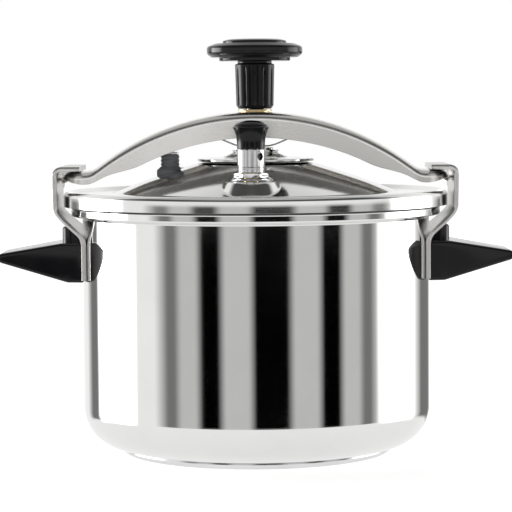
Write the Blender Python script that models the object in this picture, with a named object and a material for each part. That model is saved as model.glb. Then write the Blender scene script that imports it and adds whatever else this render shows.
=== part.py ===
"""Stovetop pressure cooker closed by a stirrup: pot, lid, stirrup, clamp screw and valves.

Units are metres, +Z is up, the origin is the centre of the base's underside.
The stirrup spans X, and it slides out from under the hooks towards -Y.
"""

import math

import bmesh
import bpy
from mathutils import Matrix, Vector

# ---------------------------------------------------------------- driving dimensions
GAP = 0.0003                 # between pieces that touch
RUNNING_CLEARANCE = 0.0001   # radial, between pieces that turn on each other

POT_BORE_RADIUS = 0.110
POT_WALL = 0.001
POT_HEIGHT = 0.1575          # underside of the base to the rim's land
POT_CORNER_RADIUS = 0.025
RIM_OVERHANG = 0.007
RIM_DEPTH = 0.0055
BASE_CAP_HEIGHT = 0.004
BASE_CAP_SHEET = 0.0008
BASE_CAP_EDGE = 0.003

LID_SHEET = 0.0012
LID_SKIRT_CLEARANCE = 0.0036  # rim bead to the inside of the skirt
LID_SKIRT_HEIGHT = 0.0095
LID_LIFT_OVER_RIM = 0.0007    # the skirt's lower edge stays above the rim
LID_CHANNEL_WIDTH = 0.032     # flat ring between the skirt and the cone
LID_CHANNEL_DEPTH = 0.0015    # below the skirt's top edge
LID_EDGE_RADIUS = 0.0032
LID_EDGE_WIDTH = 0.0042       # raised ring over the skirt
LID_CONE_FILLET = 0.010
LID_CONE_BULGE = 0.0009
LID_CONE_RISE = 0.0192
LID_CROWN_RADIUS = 0.036
GASKET_WIDTH = 0.0115
GASKET_LIP = 0.0016
GASKET_BACK = 0.004           # radial thickness of the gasket's outer wall

CENTRE_PLATE_RADIUS = 0.0376
CENTRE_PLATE_THICKNESS = 0.0026

STIRRUP_SHEET = 0.0025
STIRRUP_RISE = 0.0374         # tongue top to the crown of the arch
STIRRUP_MID_DEPTH = 0.0164    # ridge to flange edge at the middle
STIRRUP_END_DEPTH = 0.0085
STIRRUP_MID_HALF_WIDTH = 0.0240
STIRRUP_END_HALF_WIDTH = 0.0165
STIRRUP_SHOULDER = 0.0048
STIRRUP_RUN_OUT = 0.032       # over which the flanges grow to their full depth
STIRRUP_END_LIFT = 0.0045
TONGUE_LENGTH = 0.0197
TONGUE_REACH = 0.0057         # past the pot's rim bead
TONGUE_OVER_LID = 0.0126      # lid's edge to the tongue's top
LID_LIFT = 0.003              # one turn of the clamp screw

LUG_SHEET = 0.0031
LUG_HALF_WIDTH = 0.032
LUG_NECK_HALF_WIDTH = 0.025
LUG_HEIGHT_ON_WALL = 0.026
LUG_LIP_REACH = 0.0171
LUG_END_CLEARANCE = 0.0014    # tongue end to the inside of the hook
LUG_EAR_LENGTH = 0.013
LUG_EAR_TURN_IN = 0.006

HANDLE_LENGTH = 0.049
HANDLE_ROOT_DEPTH = 0.0248
HANDLE_TIP_DEPTH = 0.0052
HANDLE_DROP = 0.0012          # handle's underside below the lug's lower edge
HANDLE_ROOT_HALF_WIDTH = 0.030
HANDLE_TIP_HALF_WIDTH = 0.021
HANDLE_BOSS_HEIGHT = 0.0104
HANDLE_BOSS_LENGTH = 0.0082
HANDLE_BOSS_HALF_WIDTH = 0.026
HANDLE_BOSS_CORNER = 0.006
HANDLE_TOP_FALL = 0.007       # from the boss to the tip
HANDLE_HEEL = 0.0046          # flat under the root, before the underside rises
HANDLE_EDGE = 0.0016
BRACKET_SHEET = 0.003
BRACKET_HALF_WIDTH = 0.008
BRACKET_OVER_UNDERSIDE = 0.010
BRACKET_WELD_LEG = 0.0035
BRACKET_END_MARGIN = 0.006    # screw's axis to the bracket's end
HANDLE_SCREW_RADIUS = 0.002
HANDLE_SCREW_REACH = 0.0169   # lug's outer face to the screw's axis
HANDLE_SCREW_FACE = 2.2 * HANDLE_SCREW_RADIUS
HANDLE_SCREW_HEAD = 0.003

SPINDLE_RADIUS = 0.006
JOURNAL_RADIUS = 0.0045
BUSH_WALL = 0.0027
BUSH_FLANGE = 0.0012
BUSH_LENGTH = 0.015
BUSH_FLANGE_WIDTH = 0.002
LOCK_WASHER_ROOM = 0.0006
LOCK_NUT_ACROSS = 0.024
LOCK_NUT_HEIGHT = 0.005
FOOT_RADIUS = 0.0205
FOOT_COLLAR_RADIUS = 0.0116
FOOT_HEIGHT = 0.0062
FOOT_COLLAR_HEIGHT = 0.0015
CLIP_WIRE_RADIUS = 0.0005
CLIP_REACH = 0.036
CLIP_SLOPE = 0.42

KNOB_STEM_RADIUS = 0.0127
KNOB_STEM_HEIGHT = 0.0304
KNOB_DISC_RADIUS = 0.0306
KNOB_DISC_HEIGHT = 0.0089
KNOB_CAP_RADIUS = 0.0204
KNOB_CAP_HEIGHT = 0.0027

VALVE_X = -0.0026
VALVE_RADIAL = 0.072          # nozzle's distance in front of the pot's axis
PAD_RADIUS = 0.0155
PAD_DRAFT = 0.0045
PAD_HEIGHT = 0.0093           # flat pad above the lid's channel
NOZZLE_RADIUS = 0.0048
NOZZLE_BORE_RADIUS = 0.0016
NOZZLE_HEIGHT = 0.0105
NOZZLE_FLANGE_RADIUS = 0.009
SEAT_RADIUS = 0.013
SEAT_THICKNESS = 0.0016
NOZZLE_NUT_ACROSS = 0.0186
NOZZLE_NUT_HEIGHT = 0.0028
WEIGHT_RADIUS = 0.0085
WEIGHT_HEIGHT = 0.0141
WEIGHT_WALL = 0.0025
STEAM_HOLE_RADIUS = 0.0023
STEAM_HOLE_DIRECTION = math.radians(-47)
VALVE_CAP_HEIGHT = 0.0131
VALVE_CAP_FLARE = 0.0027
VALVE_CAP_DOME = 0.0044
NEEDLE_RADIUS = 0.0013
NEEDLE_HEAD_RADIUS = 0.0036
SPRING_WIRE_RADIUS = 0.0004
SPRING_TURNS = 6

SAFETY_X = -0.0545
SAFETY_Y = -0.004
SAFETY_BODY_RADIUS = 0.0035
SAFETY_BORE_RADIUS = 0.0017
SAFETY_PIN_RADIUS = 0.0014
SAFETY_BUTTON_RADIUS = 0.0056
SAFETY_BUTTON_THICKNESS = 0.0011
SAFETY_TUBE_UNDER_BUTTON = 0.0022
SAFETY_SLEEVE_UNDER_BUTTON = 0.0018
SAFETY_SPRING_ROOM = 0.006    # under the lid, over the nut
SLEEVE_WALL = 0.0022
SLEEVE_RIDGE = 0.0005
SLEEVE_FOOT_RADIUS = 0.0085
SAFETY_TOP_OVER_CHANNEL = 0.0261
SAFETY_NUT_ACROSS = 0.011
SAFETY_NUT_HEIGHT = 0.004

SMOOTH_ANGLE = math.radians(38)
CUT_THROUGH = 0.010           # how far a drill runs past what it cuts
ROUND_STEPS = 48              # around the pot and the lid
SMALL_ROUND_STEPS = 24        # around the small turned pieces
TINY_ROUND_STEPS = 16
ARC_STEPS = 3

# ---------------------------------------------------------------- places that follow
WALL_RADIUS = POT_BORE_RADIUS + POT_WALL
RIM_RADIUS = WALL_RADIUS + RIM_OVERHANG
FLOOR_Z = BASE_CAP_HEIGHT + GAP
BASE_RADIUS = WALL_RADIUS - POT_CORNER_RADIUS

SKIRT_Z = POT_HEIGHT + LID_LIFT_OVER_RIM
LID_INNER_RADIUS = RIM_RADIUS + LID_SKIRT_CLEARANCE
LID_RADIUS = LID_INNER_RADIUS + LID_SHEET
LID_EDGE_Z = SKIRT_Z + LID_SKIRT_HEIGHT
CHANNEL_Z = LID_EDGE_Z - LID_CHANNEL_DEPTH
CONE_RADIUS = LID_RADIUS - LID_CHANNEL_WIDTH
CROWN_Z = CHANNEL_Z + LID_CONE_RISE
PLATE_TOP_Z = CROWN_Z + GAP + CENTRE_PLATE_THICKNESS

TONGUE_Z = LID_EDGE_Z + TONGUE_OVER_LID
RIDGE_Z = TONGUE_Z + STIRRUP_RISE
STIRRUP_HALF_LENGTH = RIM_RADIUS + TONGUE_REACH

LUG_WALL_RADIUS = WALL_RADIUS + GAP
LIP_Z = TONGUE_Z + GAP
LUG_HEAD_X = STIRRUP_HALF_LENGTH + LUG_END_CLEARANCE
LUG_BEND_Z = POT_HEIGHT - 0.0195
LUG_FOOT_Z = LUG_BEND_Z - LUG_HEIGHT_ON_WALL
HANDLE_Z = LUG_FOOT_Z - HANDLE_DROP
HANDLE_ROOT_X = LUG_WALL_RADIUS + LUG_SHEET
HANDLE_TOP_Z = HANDLE_Z + HANDLE_ROOT_DEPTH
SCREW_X = HANDLE_ROOT_X + HANDLE_SCREW_REACH
BRACKET_TIP_X = SCREW_X + BRACKET_END_MARGIN
BRACKET_Z = HANDLE_Z + BRACKET_OVER_UNDERSIDE

FOOT_Z = PLATE_TOP_Z + GAP
FOOT_TOP_Z = FOOT_Z + FOOT_HEIGHT
KNOB_Z = RIDGE_Z + 2 * GAP + BUSH_FLANGE
DISC_Z = KNOB_Z + KNOB_STEM_HEIGHT

VALVE_Y = -VALVE_RADIAL
PAD_Z = CHANNEL_Z + PAD_HEIGHT
SEAT_TOP_Z = PAD_Z + GAP + SEAT_THICKNESS
NOZZLE_NUT_TOP_Z = SEAT_TOP_Z + GAP + NOZZLE_NUT_HEIGHT
WEIGHT_Z = NOZZLE_NUT_TOP_Z + GAP
WEIGHT_TOP_Z = WEIGHT_Z + WEIGHT_HEIGHT
VALVE_CAP_Z = WEIGHT_TOP_Z + GAP
NOZZLE_TOP_Z = PAD_Z + NOZZLE_HEIGHT
SAFETY_TOP_Z = CHANNEL_Z + SAFETY_TOP_OVER_CHANNEL


# ---------------------------------------------------------------- outlines
def rounded(corners, steps=ARC_STEPS):
    """An open line through corners (a, b[, radius]) with an arc in place of each one that has a radius."""
    points = []
    for i, corner in enumerate(corners):
        here = Vector(corner[:2])
        radius = corner[2] if len(corner) > 2 else 0.0
        if radius <= 0 or i in (0, len(corners) - 1):
            points.append(tuple(here))
            continue
        back = (Vector(corners[i - 1][:2]) - here).normalized()
        ahead = (Vector(corners[i + 1][:2]) - here).normalized()
        half = back.angle(ahead) / 2
        centre = here + (back + ahead).normalized() * (radius / math.sin(half))
        start = here + back * (radius / math.tan(half)) - centre
        turn = math.pi - 2 * half
        if back.x * ahead.y - back.y * ahead.x > 0:
            turn = -turn
        for k in range(steps + 1):
            angle = turn * k / steps
            c, s = math.cos(angle), math.sin(angle)
            points.append((centre.x + start.x * c - start.y * s, centre.y + start.x * s + start.y * c))
    return points


def polygon_across_flats(across, sides=6):
    radius = across / 2 / math.cos(math.pi / sides)
    return [(radius * math.cos(2 * math.pi * k / sides), radius * math.sin(2 * math.pi * k / sides))
            for k in range(sides)]


def smoothstep(value, low, high):
    t = min(1.0, max(0.0, (value - low) / (high - low)))
    return t * t * (3 - 2 * t)


# ---------------------------------------------------------------- making objects
def material(name, colour, metallic, roughness):
    made = bpy.data.materials.new(name)
    made.use_nodes = True
    shader = made.node_tree.nodes["Principled BSDF"]
    shader.inputs["Base Color"].default_value = (*colour, 1.0)
    shader.inputs["Metallic"].default_value = metallic
    shader.inputs["Roughness"].default_value = roughness
    made.diffuse_color = (*colour, 1.0)
    return made


def add_object(name, mesh_data, parent=None, look=None, helper=False):
    """Gives mesh_data (a bmesh, in world coordinates) an object; its origin moves to its parent's."""
    bmesh.ops.remove_doubles(mesh_data, verts=mesh_data.verts, dist=1e-7)
    bmesh.ops.recalc_face_normals(mesh_data, faces=mesh_data.faces)
    mesh = bpy.data.meshes.new(name)
    if parent is not None:
        mesh_data.transform(parent.matrix_world.inverted())
    mesh_data.to_mesh(mesh)
    mesh_data.free()
    mesh.shade_smooth()
    mesh.set_sharp_from_angle(angle=SMOOTH_ANGLE)
    made = bpy.data.objects.new(name, mesh)
    bpy.context.scene.collection.objects.link(made)
    made.parent = parent
    if look is not None:
        mesh.materials.append(look)
    if helper:
        made.hide_render = True
        made.display_type = "WIRE"
    return made


def turned(outline, steps=SMALL_ROUND_STEPS, centre=(0.0, 0.0), closed=False, phase=0.0):
    """A bmesh turned about the vertical line at centre, from an outline of (radius, z) points.

    phase turns the facets, as a share of one, so that a drill's corners miss those of what it cuts."""
    made = bmesh.new()
    points = [made.verts.new((r, 0.0, z)) for r, z in outline]
    pairs = list(zip(points, points[1:]))
    if closed:
        pairs.append((points[-1], points[0]))
    edges = [made.edges.new(pair) for pair in pairs]
    bmesh.ops.spin(made, geom=points + edges, cent=(0, 0, 0), axis=(0, 0, 1),
                   angle=2 * math.pi, steps=steps, use_merge=True)
    bmesh.ops.remove_doubles(made, verts=made.verts, dist=1e-7)
    made.transform(Matrix.Translation((*centre, 0.0)) @ Matrix.Rotation(2 * math.pi * phase / steps, 4, "Z"))
    return made


def cylinder(radius, low, high, steps=SMALL_ROUND_STEPS, centre=(0.0, 0.0), phase=0.0):
    return turned([(0.0, low), (radius, low), (radius, high), (0.0, high)], steps, centre, phase=phase)


def extruded(outline, low, high, plane="xz"):
    """A prism: outline in the plane xz (swept along y) or xy (swept along z)."""
    made = bmesh.new()

    def place(a, b, depth):
        return (a, depth, b) if plane == "xz" else (a, b, depth)

    near = [made.verts.new(place(a, b, low)) for a, b in outline]
    far = [made.verts.new(place(a, b, high)) for a, b in outline]
    made.faces.new(near)
    made.faces.new(list(reversed(far)))
    count = len(outline)
    for i in range(count):
        j = (i + 1) % count
        made.faces.new((near[i], far[i], far[j], near[j]))
    return made


def lofted(sections):
    """A closed bmesh through rings of equally many points, with its two ends capped."""
    made = bmesh.new()
    rings = [[made.verts.new(point) for point in ring] for ring in sections]
    count = len(rings[0])
    for near, far in zip(rings, rings[1:]):
        for i in range(count):
            j = (i + 1) % count
            made.faces.new((near[i], near[j], far[j]))
            made.faces.new((near[i], far[j], far[i]))
    made.faces.new(rings[0])
    made.faces.new(list(reversed(rings[-1])))
    return made


def swept_wire(points, radius, sides=6):
    """A round wire along a smooth route of points."""
    rings = []
    route = [Vector(point) for point in points]
    side = None
    for i, here in enumerate(route):
        along = (route[min(i + 1, len(route) - 1)] - route[max(i - 1, 0)]).normalized()
        if side is None:
            side = along.orthogonal().normalized()
        side = (side - along * side.dot(along)).normalized()
        other = along.cross(side)
        rings.append([here + radius * (side * math.cos(a) + other * math.sin(a))
                      for a in (2 * math.pi * k / sides for k in range(sides))])
    return lofted(rings)


def combine(target, tool, operation):
    modifier = target.modifiers.new(operation.lower() + "_" + tool.name, "BOOLEAN")
    modifier.operation = operation
    modifier.solver = "EXACT"
    modifier.object = tool


def bevelled(target, width, segments=2):
    modifier = target.modifiers.new("rounded_edges", "BEVEL")
    modifier.width = width
    modifier.segments = segments
    modifier.limit_method = "ANGLE"
    modifier.angle_limit = SMOOTH_ANGLE


def joint_frame(name, place, parent=None):
    """An empty on a joint's axis, which the moving pieces hang from."""
    frame = bpy.data.objects.new(name, None)
    bpy.context.scene.collection.objects.link(frame)
    frame.parent = parent
    frame.matrix_world = Matrix.Translation(place)
    bpy.context.view_layer.update()
    return frame


# ---------------------------------------------------------------- pot
def pot_shell(look):
    flare = 0.004
    edge = 0.0011
    inner_corner = POT_CORNER_RADIUS - POT_WALL
    outer = rounded([
        (WALL_RADIUS - RIM_OVERHANG / 2, POT_HEIGHT),
        (RIM_RADIUS, POT_HEIGHT, edge),
        (RIM_RADIUS, POT_HEIGHT - RIM_DEPTH, edge),
        (WALL_RADIUS + flare, POT_HEIGHT - RIM_DEPTH),
    ], 2)[1:]
    lower = rounded([
        (WALL_RADIUS + flare, POT_HEIGHT - RIM_DEPTH),
        (WALL_RADIUS, POT_HEIGHT - RIM_DEPTH - flare / 3, flare / 4),
        (WALL_RADIUS, FLOOR_Z + POT_CORNER_RADIUS),
        (WALL_RADIUS, FLOOR_Z, POT_CORNER_RADIUS),
        (0.0, FLOOR_Z),
    ], 5)[1:]
    inner = rounded([
        (0.0, FLOOR_Z + POT_WALL),
        (POT_BORE_RADIUS, FLOOR_Z + POT_WALL, inner_corner),
        (POT_BORE_RADIUS, POT_HEIGHT, 0.0015),
        (RIM_RADIUS, POT_HEIGHT),
    ], 4)[:-1]
    return add_object("pot_shell", turned(outer + lower + inner, ROUND_STEPS, closed=True), look=look)


def base_pieces(steel, aluminium):
    cap_radius = BASE_RADIUS + BASE_CAP_SHEET
    disc_radius = cap_radius - BASE_CAP_SHEET - GAP
    cap = rounded([
        (cap_radius, BASE_CAP_HEIGHT),
        (cap_radius, 0.0, BASE_CAP_EDGE),
        (0.0, 0.0),
    ])
    cap_inside = rounded([
        (0.0, BASE_CAP_SHEET),
        (cap_radius - BASE_CAP_SHEET, BASE_CAP_SHEET, BASE_CAP_EDGE - BASE_CAP_SHEET),
        (cap_radius - BASE_CAP_SHEET, BASE_CAP_HEIGHT),
    ])
    add_object("base_cap", turned(cap + cap_inside, ROUND_STEPS, closed=True), look=steel)
    disc = rounded([
        (0.0, BASE_CAP_HEIGHT),
        (disc_radius, BASE_CAP_HEIGHT),
        (disc_radius, BASE_CAP_SHEET + GAP, BASE_CAP_EDGE - BASE_CAP_SHEET),
        (0.0, BASE_CAP_SHEET + GAP),
    ])
    add_object("heat_spreader", turned(disc, ROUND_STEPS), look=aluminium)


# ---------------------------------------------------------------- hook lugs and handles
def lug_path(room):
    """Middle line of the lug's plate, from its foot on the wall to the end of its lip, as (x, z).

    room lengthens its foot, for the space that the plate takes in a neighbour."""
    half = LUG_SHEET / 2
    return rounded([
        (LUG_WALL_RADIUS + half, LUG_FOOT_Z - room),
        (LUG_WALL_RADIUS + half, LUG_BEND_Z, 0.014),
        (LUG_HEAD_X + half, POT_HEIGHT - 0.0015, 0.010),
        (LUG_HEAD_X + half + 0.0004, LIP_Z + half, 0.0045),
        (LUG_HEAD_X + LUG_SHEET - LUG_LIP_REACH, LIP_Z + half),
    ], 5)


def lug_plate(outward, inward, side, room=0.0):
    """The lug's plate, reaching outward and inward from its middle line, for side +1 or -1."""
    path = [Vector(point) for point in lug_path(room)]
    across = [-1.0, -0.6, -0.2, 0.2, 0.6, 1.0]
    head_z = POT_HEIGHT + 0.012
    rings = []
    for i, here in enumerate(path):
        along = (path[min(i + 1, len(path) - 1)] - path[max(i - 1, 0)]).normalized()
        normal = Vector((along.y, -along.x))
        hug = 1 - smoothstep(here.y, LUG_BEND_Z, POT_HEIGHT - 0.003)
        half = LUG_NECK_HALF_WIDTH + (LUG_HALF_WIDTH - LUG_NECK_HALF_WIDTH) * (
            1 - smoothstep(here.y, LUG_BEND_Z, POT_HEIGHT))
        ear = LUG_EAR_LENGTH * smoothstep(here.y, head_z - 0.002, head_z + 0.007)
        lip = smoothstep(LUG_HEAD_X - here.x, 0.0, 0.004)
        rear = half + ear * (1 - 0.4 * lip)
        ring = []
        for reach, order in ((outward, across), (-inward, list(reversed(across)))):
            spot = here + normal * reach
            for share in order:
                y = share * (half if share < 0 else rear)
                turn_in = LUG_EAR_TURN_IN * (1 - lip) * smoothstep(y, half, half + LUG_EAR_LENGTH)
                sag = hug * (LUG_WALL_RADIUS - math.sqrt(LUG_WALL_RADIUS ** 2 - y ** 2))
                ring.append((side * (spot.x - sag - turn_in), y, spot.y))
        rings.append(ring)
    return lofted(rings)


def handle_body(side, look, lug_cutter):
    """Grip and boss of one side handle, hollowed where the lug's bracket goes in."""
    root = HANDLE_ROOT_X - 0.006
    tip = HANDLE_ROOT_X + HANDLE_LENGTH
    tip_top = HANDLE_TOP_Z - HANDLE_TOP_FALL
    tip_low = tip_top - HANDLE_TIP_DEPTH
    tip_round = 0.45 * HANDLE_TIP_DEPTH
    boss_x = HANDLE_ROOT_X + HANDLE_BOSS_LENGTH
    grip = rounded([
        (root, HANDLE_Z),
        (HANDLE_ROOT_X + HANDLE_HEEL, HANDLE_Z, 0.004),
        (tip, tip_low, tip_round),
        (tip, tip_top, tip_round),
        (boss_x, HANDLE_TOP_Z),
        (root, HANDLE_TOP_Z),
    ])
    name = "left_handle" if side < 0 else "right_handle"
    body = extruded(grip, -1.0, 1.0)
    for vertex in body.verts:
        share = max(0.0, (vertex.co.x - HANDLE_ROOT_X) / HANDLE_LENGTH)
        half = HANDLE_ROOT_HALF_WIDTH + (HANDLE_TIP_HALF_WIDTH - HANDLE_ROOT_HALF_WIDTH) * share
        vertex.co.y *= half
        vertex.co.x *= side
    handle = add_object(name, body, look=look)
    bevelled(handle, HANDLE_EDGE)
    boss = extruded(rounded([
        (side * root, -HANDLE_BOSS_HALF_WIDTH),
        (side * boss_x, -HANDLE_BOSS_HALF_WIDTH, HANDLE_BOSS_CORNER),
        (side * boss_x, HANDLE_BOSS_HALF_WIDTH, HANDLE_BOSS_CORNER),
        (side * root, HANDLE_BOSS_HALF_WIDTH),
    ]), HANDLE_TOP_Z - 0.004, HANDLE_TOP_Z + HANDLE_BOSS_HEIGHT, "xy")
    boss_tool = add_object(name + "_boss", boss, helper=True)
    bevelled(boss_tool, 0.001, 1)
    combine(handle, boss_tool, "UNION")
    combine(handle, lug_cutter, "DIFFERENCE")
    wall_clear = WALL_RADIUS + 2 * GAP
    wall_room = cylinder(wall_clear, HANDLE_Z - CUT_THROUGH, LUG_BEND_Z - 0.006, ROUND_STEPS)
    combine(handle, add_object(name + "_wall_room", wall_room, helper=True), "DIFFERENCE")
    pocket_z = BRACKET_Z - BRACKET_WELD_LEG - 2 * GAP
    pocket_top = BRACKET_Z + BRACKET_SHEET + GAP
    pocket = extruded([
        (side * root, pocket_z), (side * (BRACKET_TIP_X + GAP), pocket_z),
        (side * (BRACKET_TIP_X + GAP), pocket_top), (side * root, pocket_top),
    ], -BRACKET_HALF_WIDTH - GAP, BRACKET_HALF_WIDTH + GAP)
    combine(handle, add_object(name + "_pocket", pocket, helper=True), "DIFFERENCE")
    for word, radius, top in (("_screw_hole", HANDLE_SCREW_RADIUS + 2 * GAP, BRACKET_Z + BRACKET_SHEET / 2),
                              ("_screw_face", HANDLE_SCREW_FACE, screw_seat_z())):
        drill = cylinder(radius, screw_seat_z() - 2 * CUT_THROUGH, top, TINY_ROUND_STEPS,
                         (side * SCREW_X, 0.0))
        combine(handle, add_object(name + word, drill, helper=True), "DIFFERENCE")


def screw_seat_z():
    """The flat under the grip that the screw's head bears on."""
    slope = (HANDLE_ROOT_DEPTH - HANDLE_TOP_FALL - HANDLE_TIP_DEPTH) / (HANDLE_LENGTH - HANDLE_HEEL)
    return HANDLE_Z + slope * (HANDLE_SCREW_REACH + HANDLE_SCREW_FACE - HANDLE_HEEL) + GAP


def handle_bracket(name, side, look):
    """An angle welded to the lug, whose leg takes the handle's screw."""
    start = HANDLE_ROOT_X + GAP
    low, z, top = BRACKET_Z - BRACKET_WELD_LEG, BRACKET_Z, BRACKET_Z + BRACKET_SHEET
    body = extruded([
        (side * start, low), (side * (start + BRACKET_SHEET), low), (side * (start + BRACKET_SHEET), z),
        (side * BRACKET_TIP_X, z), (side * BRACKET_TIP_X, top), (side * start, top),
    ], -BRACKET_HALF_WIDTH, BRACKET_HALF_WIDTH)
    bracket = add_object(name, body, look=look)
    hole = cylinder(HANDLE_SCREW_RADIUS + RUNNING_CLEARANCE, z - CUT_THROUGH, top + CUT_THROUGH,
                    TINY_ROUND_STEPS, (side * SCREW_X, 0.0))
    combine(bracket, add_object(name + "_hole", hole, helper=True), "DIFFERENCE")


def handle_screw(name, side, look):
    head_top = screw_seat_z() - GAP
    head_low = head_top - HANDLE_SCREW_HEAD
    head_radius = 1.6 * HANDLE_SCREW_RADIUS
    shank_top = BRACKET_Z + BRACKET_SHEET - GAP
    outline = rounded([
        (0.0, head_low), (head_radius, head_low, HANDLE_SCREW_HEAD / 3), (head_radius, head_top),
        (HANDLE_SCREW_RADIUS, head_top), (HANDLE_SCREW_RADIUS, shank_top), (0.0, shank_top),
    ])
    add_object(name, turned(outline, TINY_ROUND_STEPS, (side * SCREW_X, 0.0)), look=look)


def side_pieces(plate_steel, black, bright):
    for side, word in ((-1, "left"), (1, "right")):
        lug = lug_plate(LUG_SHEET / 2, LUG_SHEET / 2, side)
        add_object(word + "_hook_lug", lug, look=plate_steel)
        cutter = add_object(word + "_lug_room", lug_plate(LUG_SHEET / 2 + GAP, 0.008, side, GAP),
                            helper=True)
        handle_body(side, black, cutter)
        handle_bracket(word + "_handle_bracket", side, plate_steel)
        handle_screw(word + "_handle_screw", side, bright)


# ---------------------------------------------------------------- lid
def cone_z(radius):
    """Height of the lid's upper face at a radius on its cone, which bulges a little."""
    share = (CONE_RADIUS - radius) / (CONE_RADIUS - LID_CROWN_RADIUS)
    return CHANNEL_Z + LID_CONE_RISE * share + 4 * LID_CONE_BULGE * share * (1 - share)


def lid_upper_outline(offset):
    """The lid's pressed form from its axis to the skirt's lower edge, offset below the upper face."""
    edge = LID_EDGE_RADIUS - offset
    channel_end = LID_RADIUS - LID_EDGE_WIDTH - 1.2 * LID_CHANNEL_DEPTH
    cone = [(r, cone_z(r) - offset) for r in
            (LID_CROWN_RADIUS + (CONE_RADIUS - LID_CROWN_RADIUS) * k / 5 for k in range(1, 5))]
    corners = [(0.0, CROWN_Z - offset), (LID_CROWN_RADIUS, CROWN_Z - offset), *cone,
               (CONE_RADIUS, CHANNEL_Z - offset, LID_CONE_FILLET), (channel_end, CHANNEL_Z - offset),
               (LID_RADIUS - LID_EDGE_WIDTH, LID_EDGE_Z - offset),
               (LID_RADIUS - offset, LID_EDGE_Z - offset, edge), (LID_RADIUS - offset, SKIRT_Z)]
    return rounded(corners, 2)


def pad_frustum(name, shrink, low, high, widening):
    """A drafted plug on the valve's axis; widening is +1 when it widens downwards, -1 upwards."""
    radius = PAD_RADIUS - shrink
    wide = radius + PAD_DRAFT * (high - low) / PAD_HEIGHT
    ends = [(wide, low), (radius, high)] if widening > 0 else [(radius, low), (wide, high)]
    outline = [(0.0, low), *ends, (0.0, high)]
    return add_object(name, turned(outline, SMALL_ROUND_STEPS, (VALVE_X, VALVE_Y)), helper=True)


def lid_shell(parent, look):
    """The lid is its outer form less its inner form, each with the flat valve pad pressed into it."""
    below = SKIRT_Z - 0.010
    outer = lid_upper_outline(0.0) + [(0.0, SKIRT_Z)]
    lid = add_object("lid_shell", turned(outer, ROUND_STEPS), parent, look)
    top = CROWN_Z + 0.010
    combine(lid, pad_frustum("pad_recess", 0.0, PAD_Z, top, -1), "DIFFERENCE")
    combine(lid, pad_frustum("pad_boss", 0.0, SKIRT_Z + 0.004, PAD_Z, 1), "UNION")
    inner = lid_upper_outline(LID_SHEET) + [(LID_INNER_RADIUS, below), (0.0, below)]
    hollow = add_object("lid_hollow", turned(inner, ROUND_STEPS), parent, helper=True)
    combine(hollow, pad_frustum("hollow_recess", -LID_SHEET, PAD_Z - LID_SHEET, top, -1), "DIFFERENCE")
    combine(hollow, pad_frustum("hollow_boss", LID_SHEET, SKIRT_Z, PAD_Z - LID_SHEET, 1), "UNION")
    combine(lid, hollow, "DIFFERENCE")
    for name, radius, place in (
        ("nozzle_hole", NOZZLE_RADIUS + GAP, (VALVE_X, VALVE_Y)),
        ("safety_hole", SAFETY_BODY_RADIUS + GAP, (SAFETY_X, SAFETY_Y)),
    ):
        hole = cylinder(radius, SKIRT_Z, top, SMALL_ROUND_STEPS, place, phase=0.5)
        combine(lid, add_object(name, hole, helper=True), "DIFFERENCE")


def lid_gasket(parent, look):
    low = POT_HEIGHT + GAP
    high = CHANNEL_Z - LID_SHEET - GAP
    outer = LID_INNER_RADIUS - 2 * GAP
    inner = outer - GASKET_WIDTH
    back = outer - GASKET_BACK
    lip_end = inner + GASKET_BACK / 2
    outline = rounded([
        (inner, low), (outer, low, 0.0006), (outer, high, 0.001), (lip_end, high),
        (lip_end, high - GASKET_LIP), (back, high - GASKET_LIP), (back, low + GASKET_LIP), (inner, low + GASKET_LIP),
    ], 1)
    add_object("lid_gasket", turned(outline, ROUND_STEPS, closed=True), parent, look)


def centre_plate(parent, look):
    low = CROWN_Z + GAP
    outline = rounded([
        (0.0, low), (CENTRE_PLATE_RADIUS - 0.004, low), (CENTRE_PLATE_RADIUS, low + 0.0006),
        (CENTRE_PLATE_RADIUS, PLATE_TOP_Z - 0.0006, 0.0004), (CENTRE_PLATE_RADIUS - 0.006, PLATE_TOP_Z),
        (0.0, PLATE_TOP_Z),
    ], 2)
    add_object("centre_plate", turned(outline, ROUND_STEPS), parent, look)


# ---------------------------------------------------------------- steam nozzle and regulator
def nozzle_pieces(parent, steel, brass):
    place = (VALVE_X, VALVE_Y)
    flange_top = PAD_Z - LID_SHEET - GAP
    flange_low = flange_top - 0.003
    nozzle = rounded([
        (NOZZLE_BORE_RADIUS, flange_low), (NOZZLE_FLANGE_RADIUS, flange_low, 0.0008),
        (NOZZLE_FLANGE_RADIUS, flange_top), (NOZZLE_RADIUS, flange_top),
        (NOZZLE_RADIUS, NOZZLE_TOP_Z - 0.002), (NOZZLE_BORE_RADIUS + 0.0008, NOZZLE_TOP_Z),
        (NOZZLE_BORE_RADIUS, NOZZLE_TOP_Z),
    ])
    add_object("steam_nozzle", turned(nozzle, SMALL_ROUND_STEPS, place, closed=True), parent, brass)
    inner = NOZZLE_RADIUS + GAP
    seat = rounded([
        (inner, PAD_Z + GAP), (SEAT_RADIUS - 0.002, PAD_Z + GAP), (SEAT_RADIUS, PAD_Z + GAP + 0.0004),
        (SEAT_RADIUS, PAD_Z + GAP + 0.0009), (NOZZLE_NUT_ACROSS / 2, SEAT_TOP_Z), (inner, SEAT_TOP_Z),
    ])
    add_object("nozzle_washer", turned(seat, SMALL_ROUND_STEPS, place, closed=True), parent, steel)
    hex_nut("nozzle_nut", NOZZLE_NUT_ACROSS, inner, SEAT_TOP_Z + GAP, NOZZLE_NUT_TOP_Z, place, parent, steel)


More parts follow.
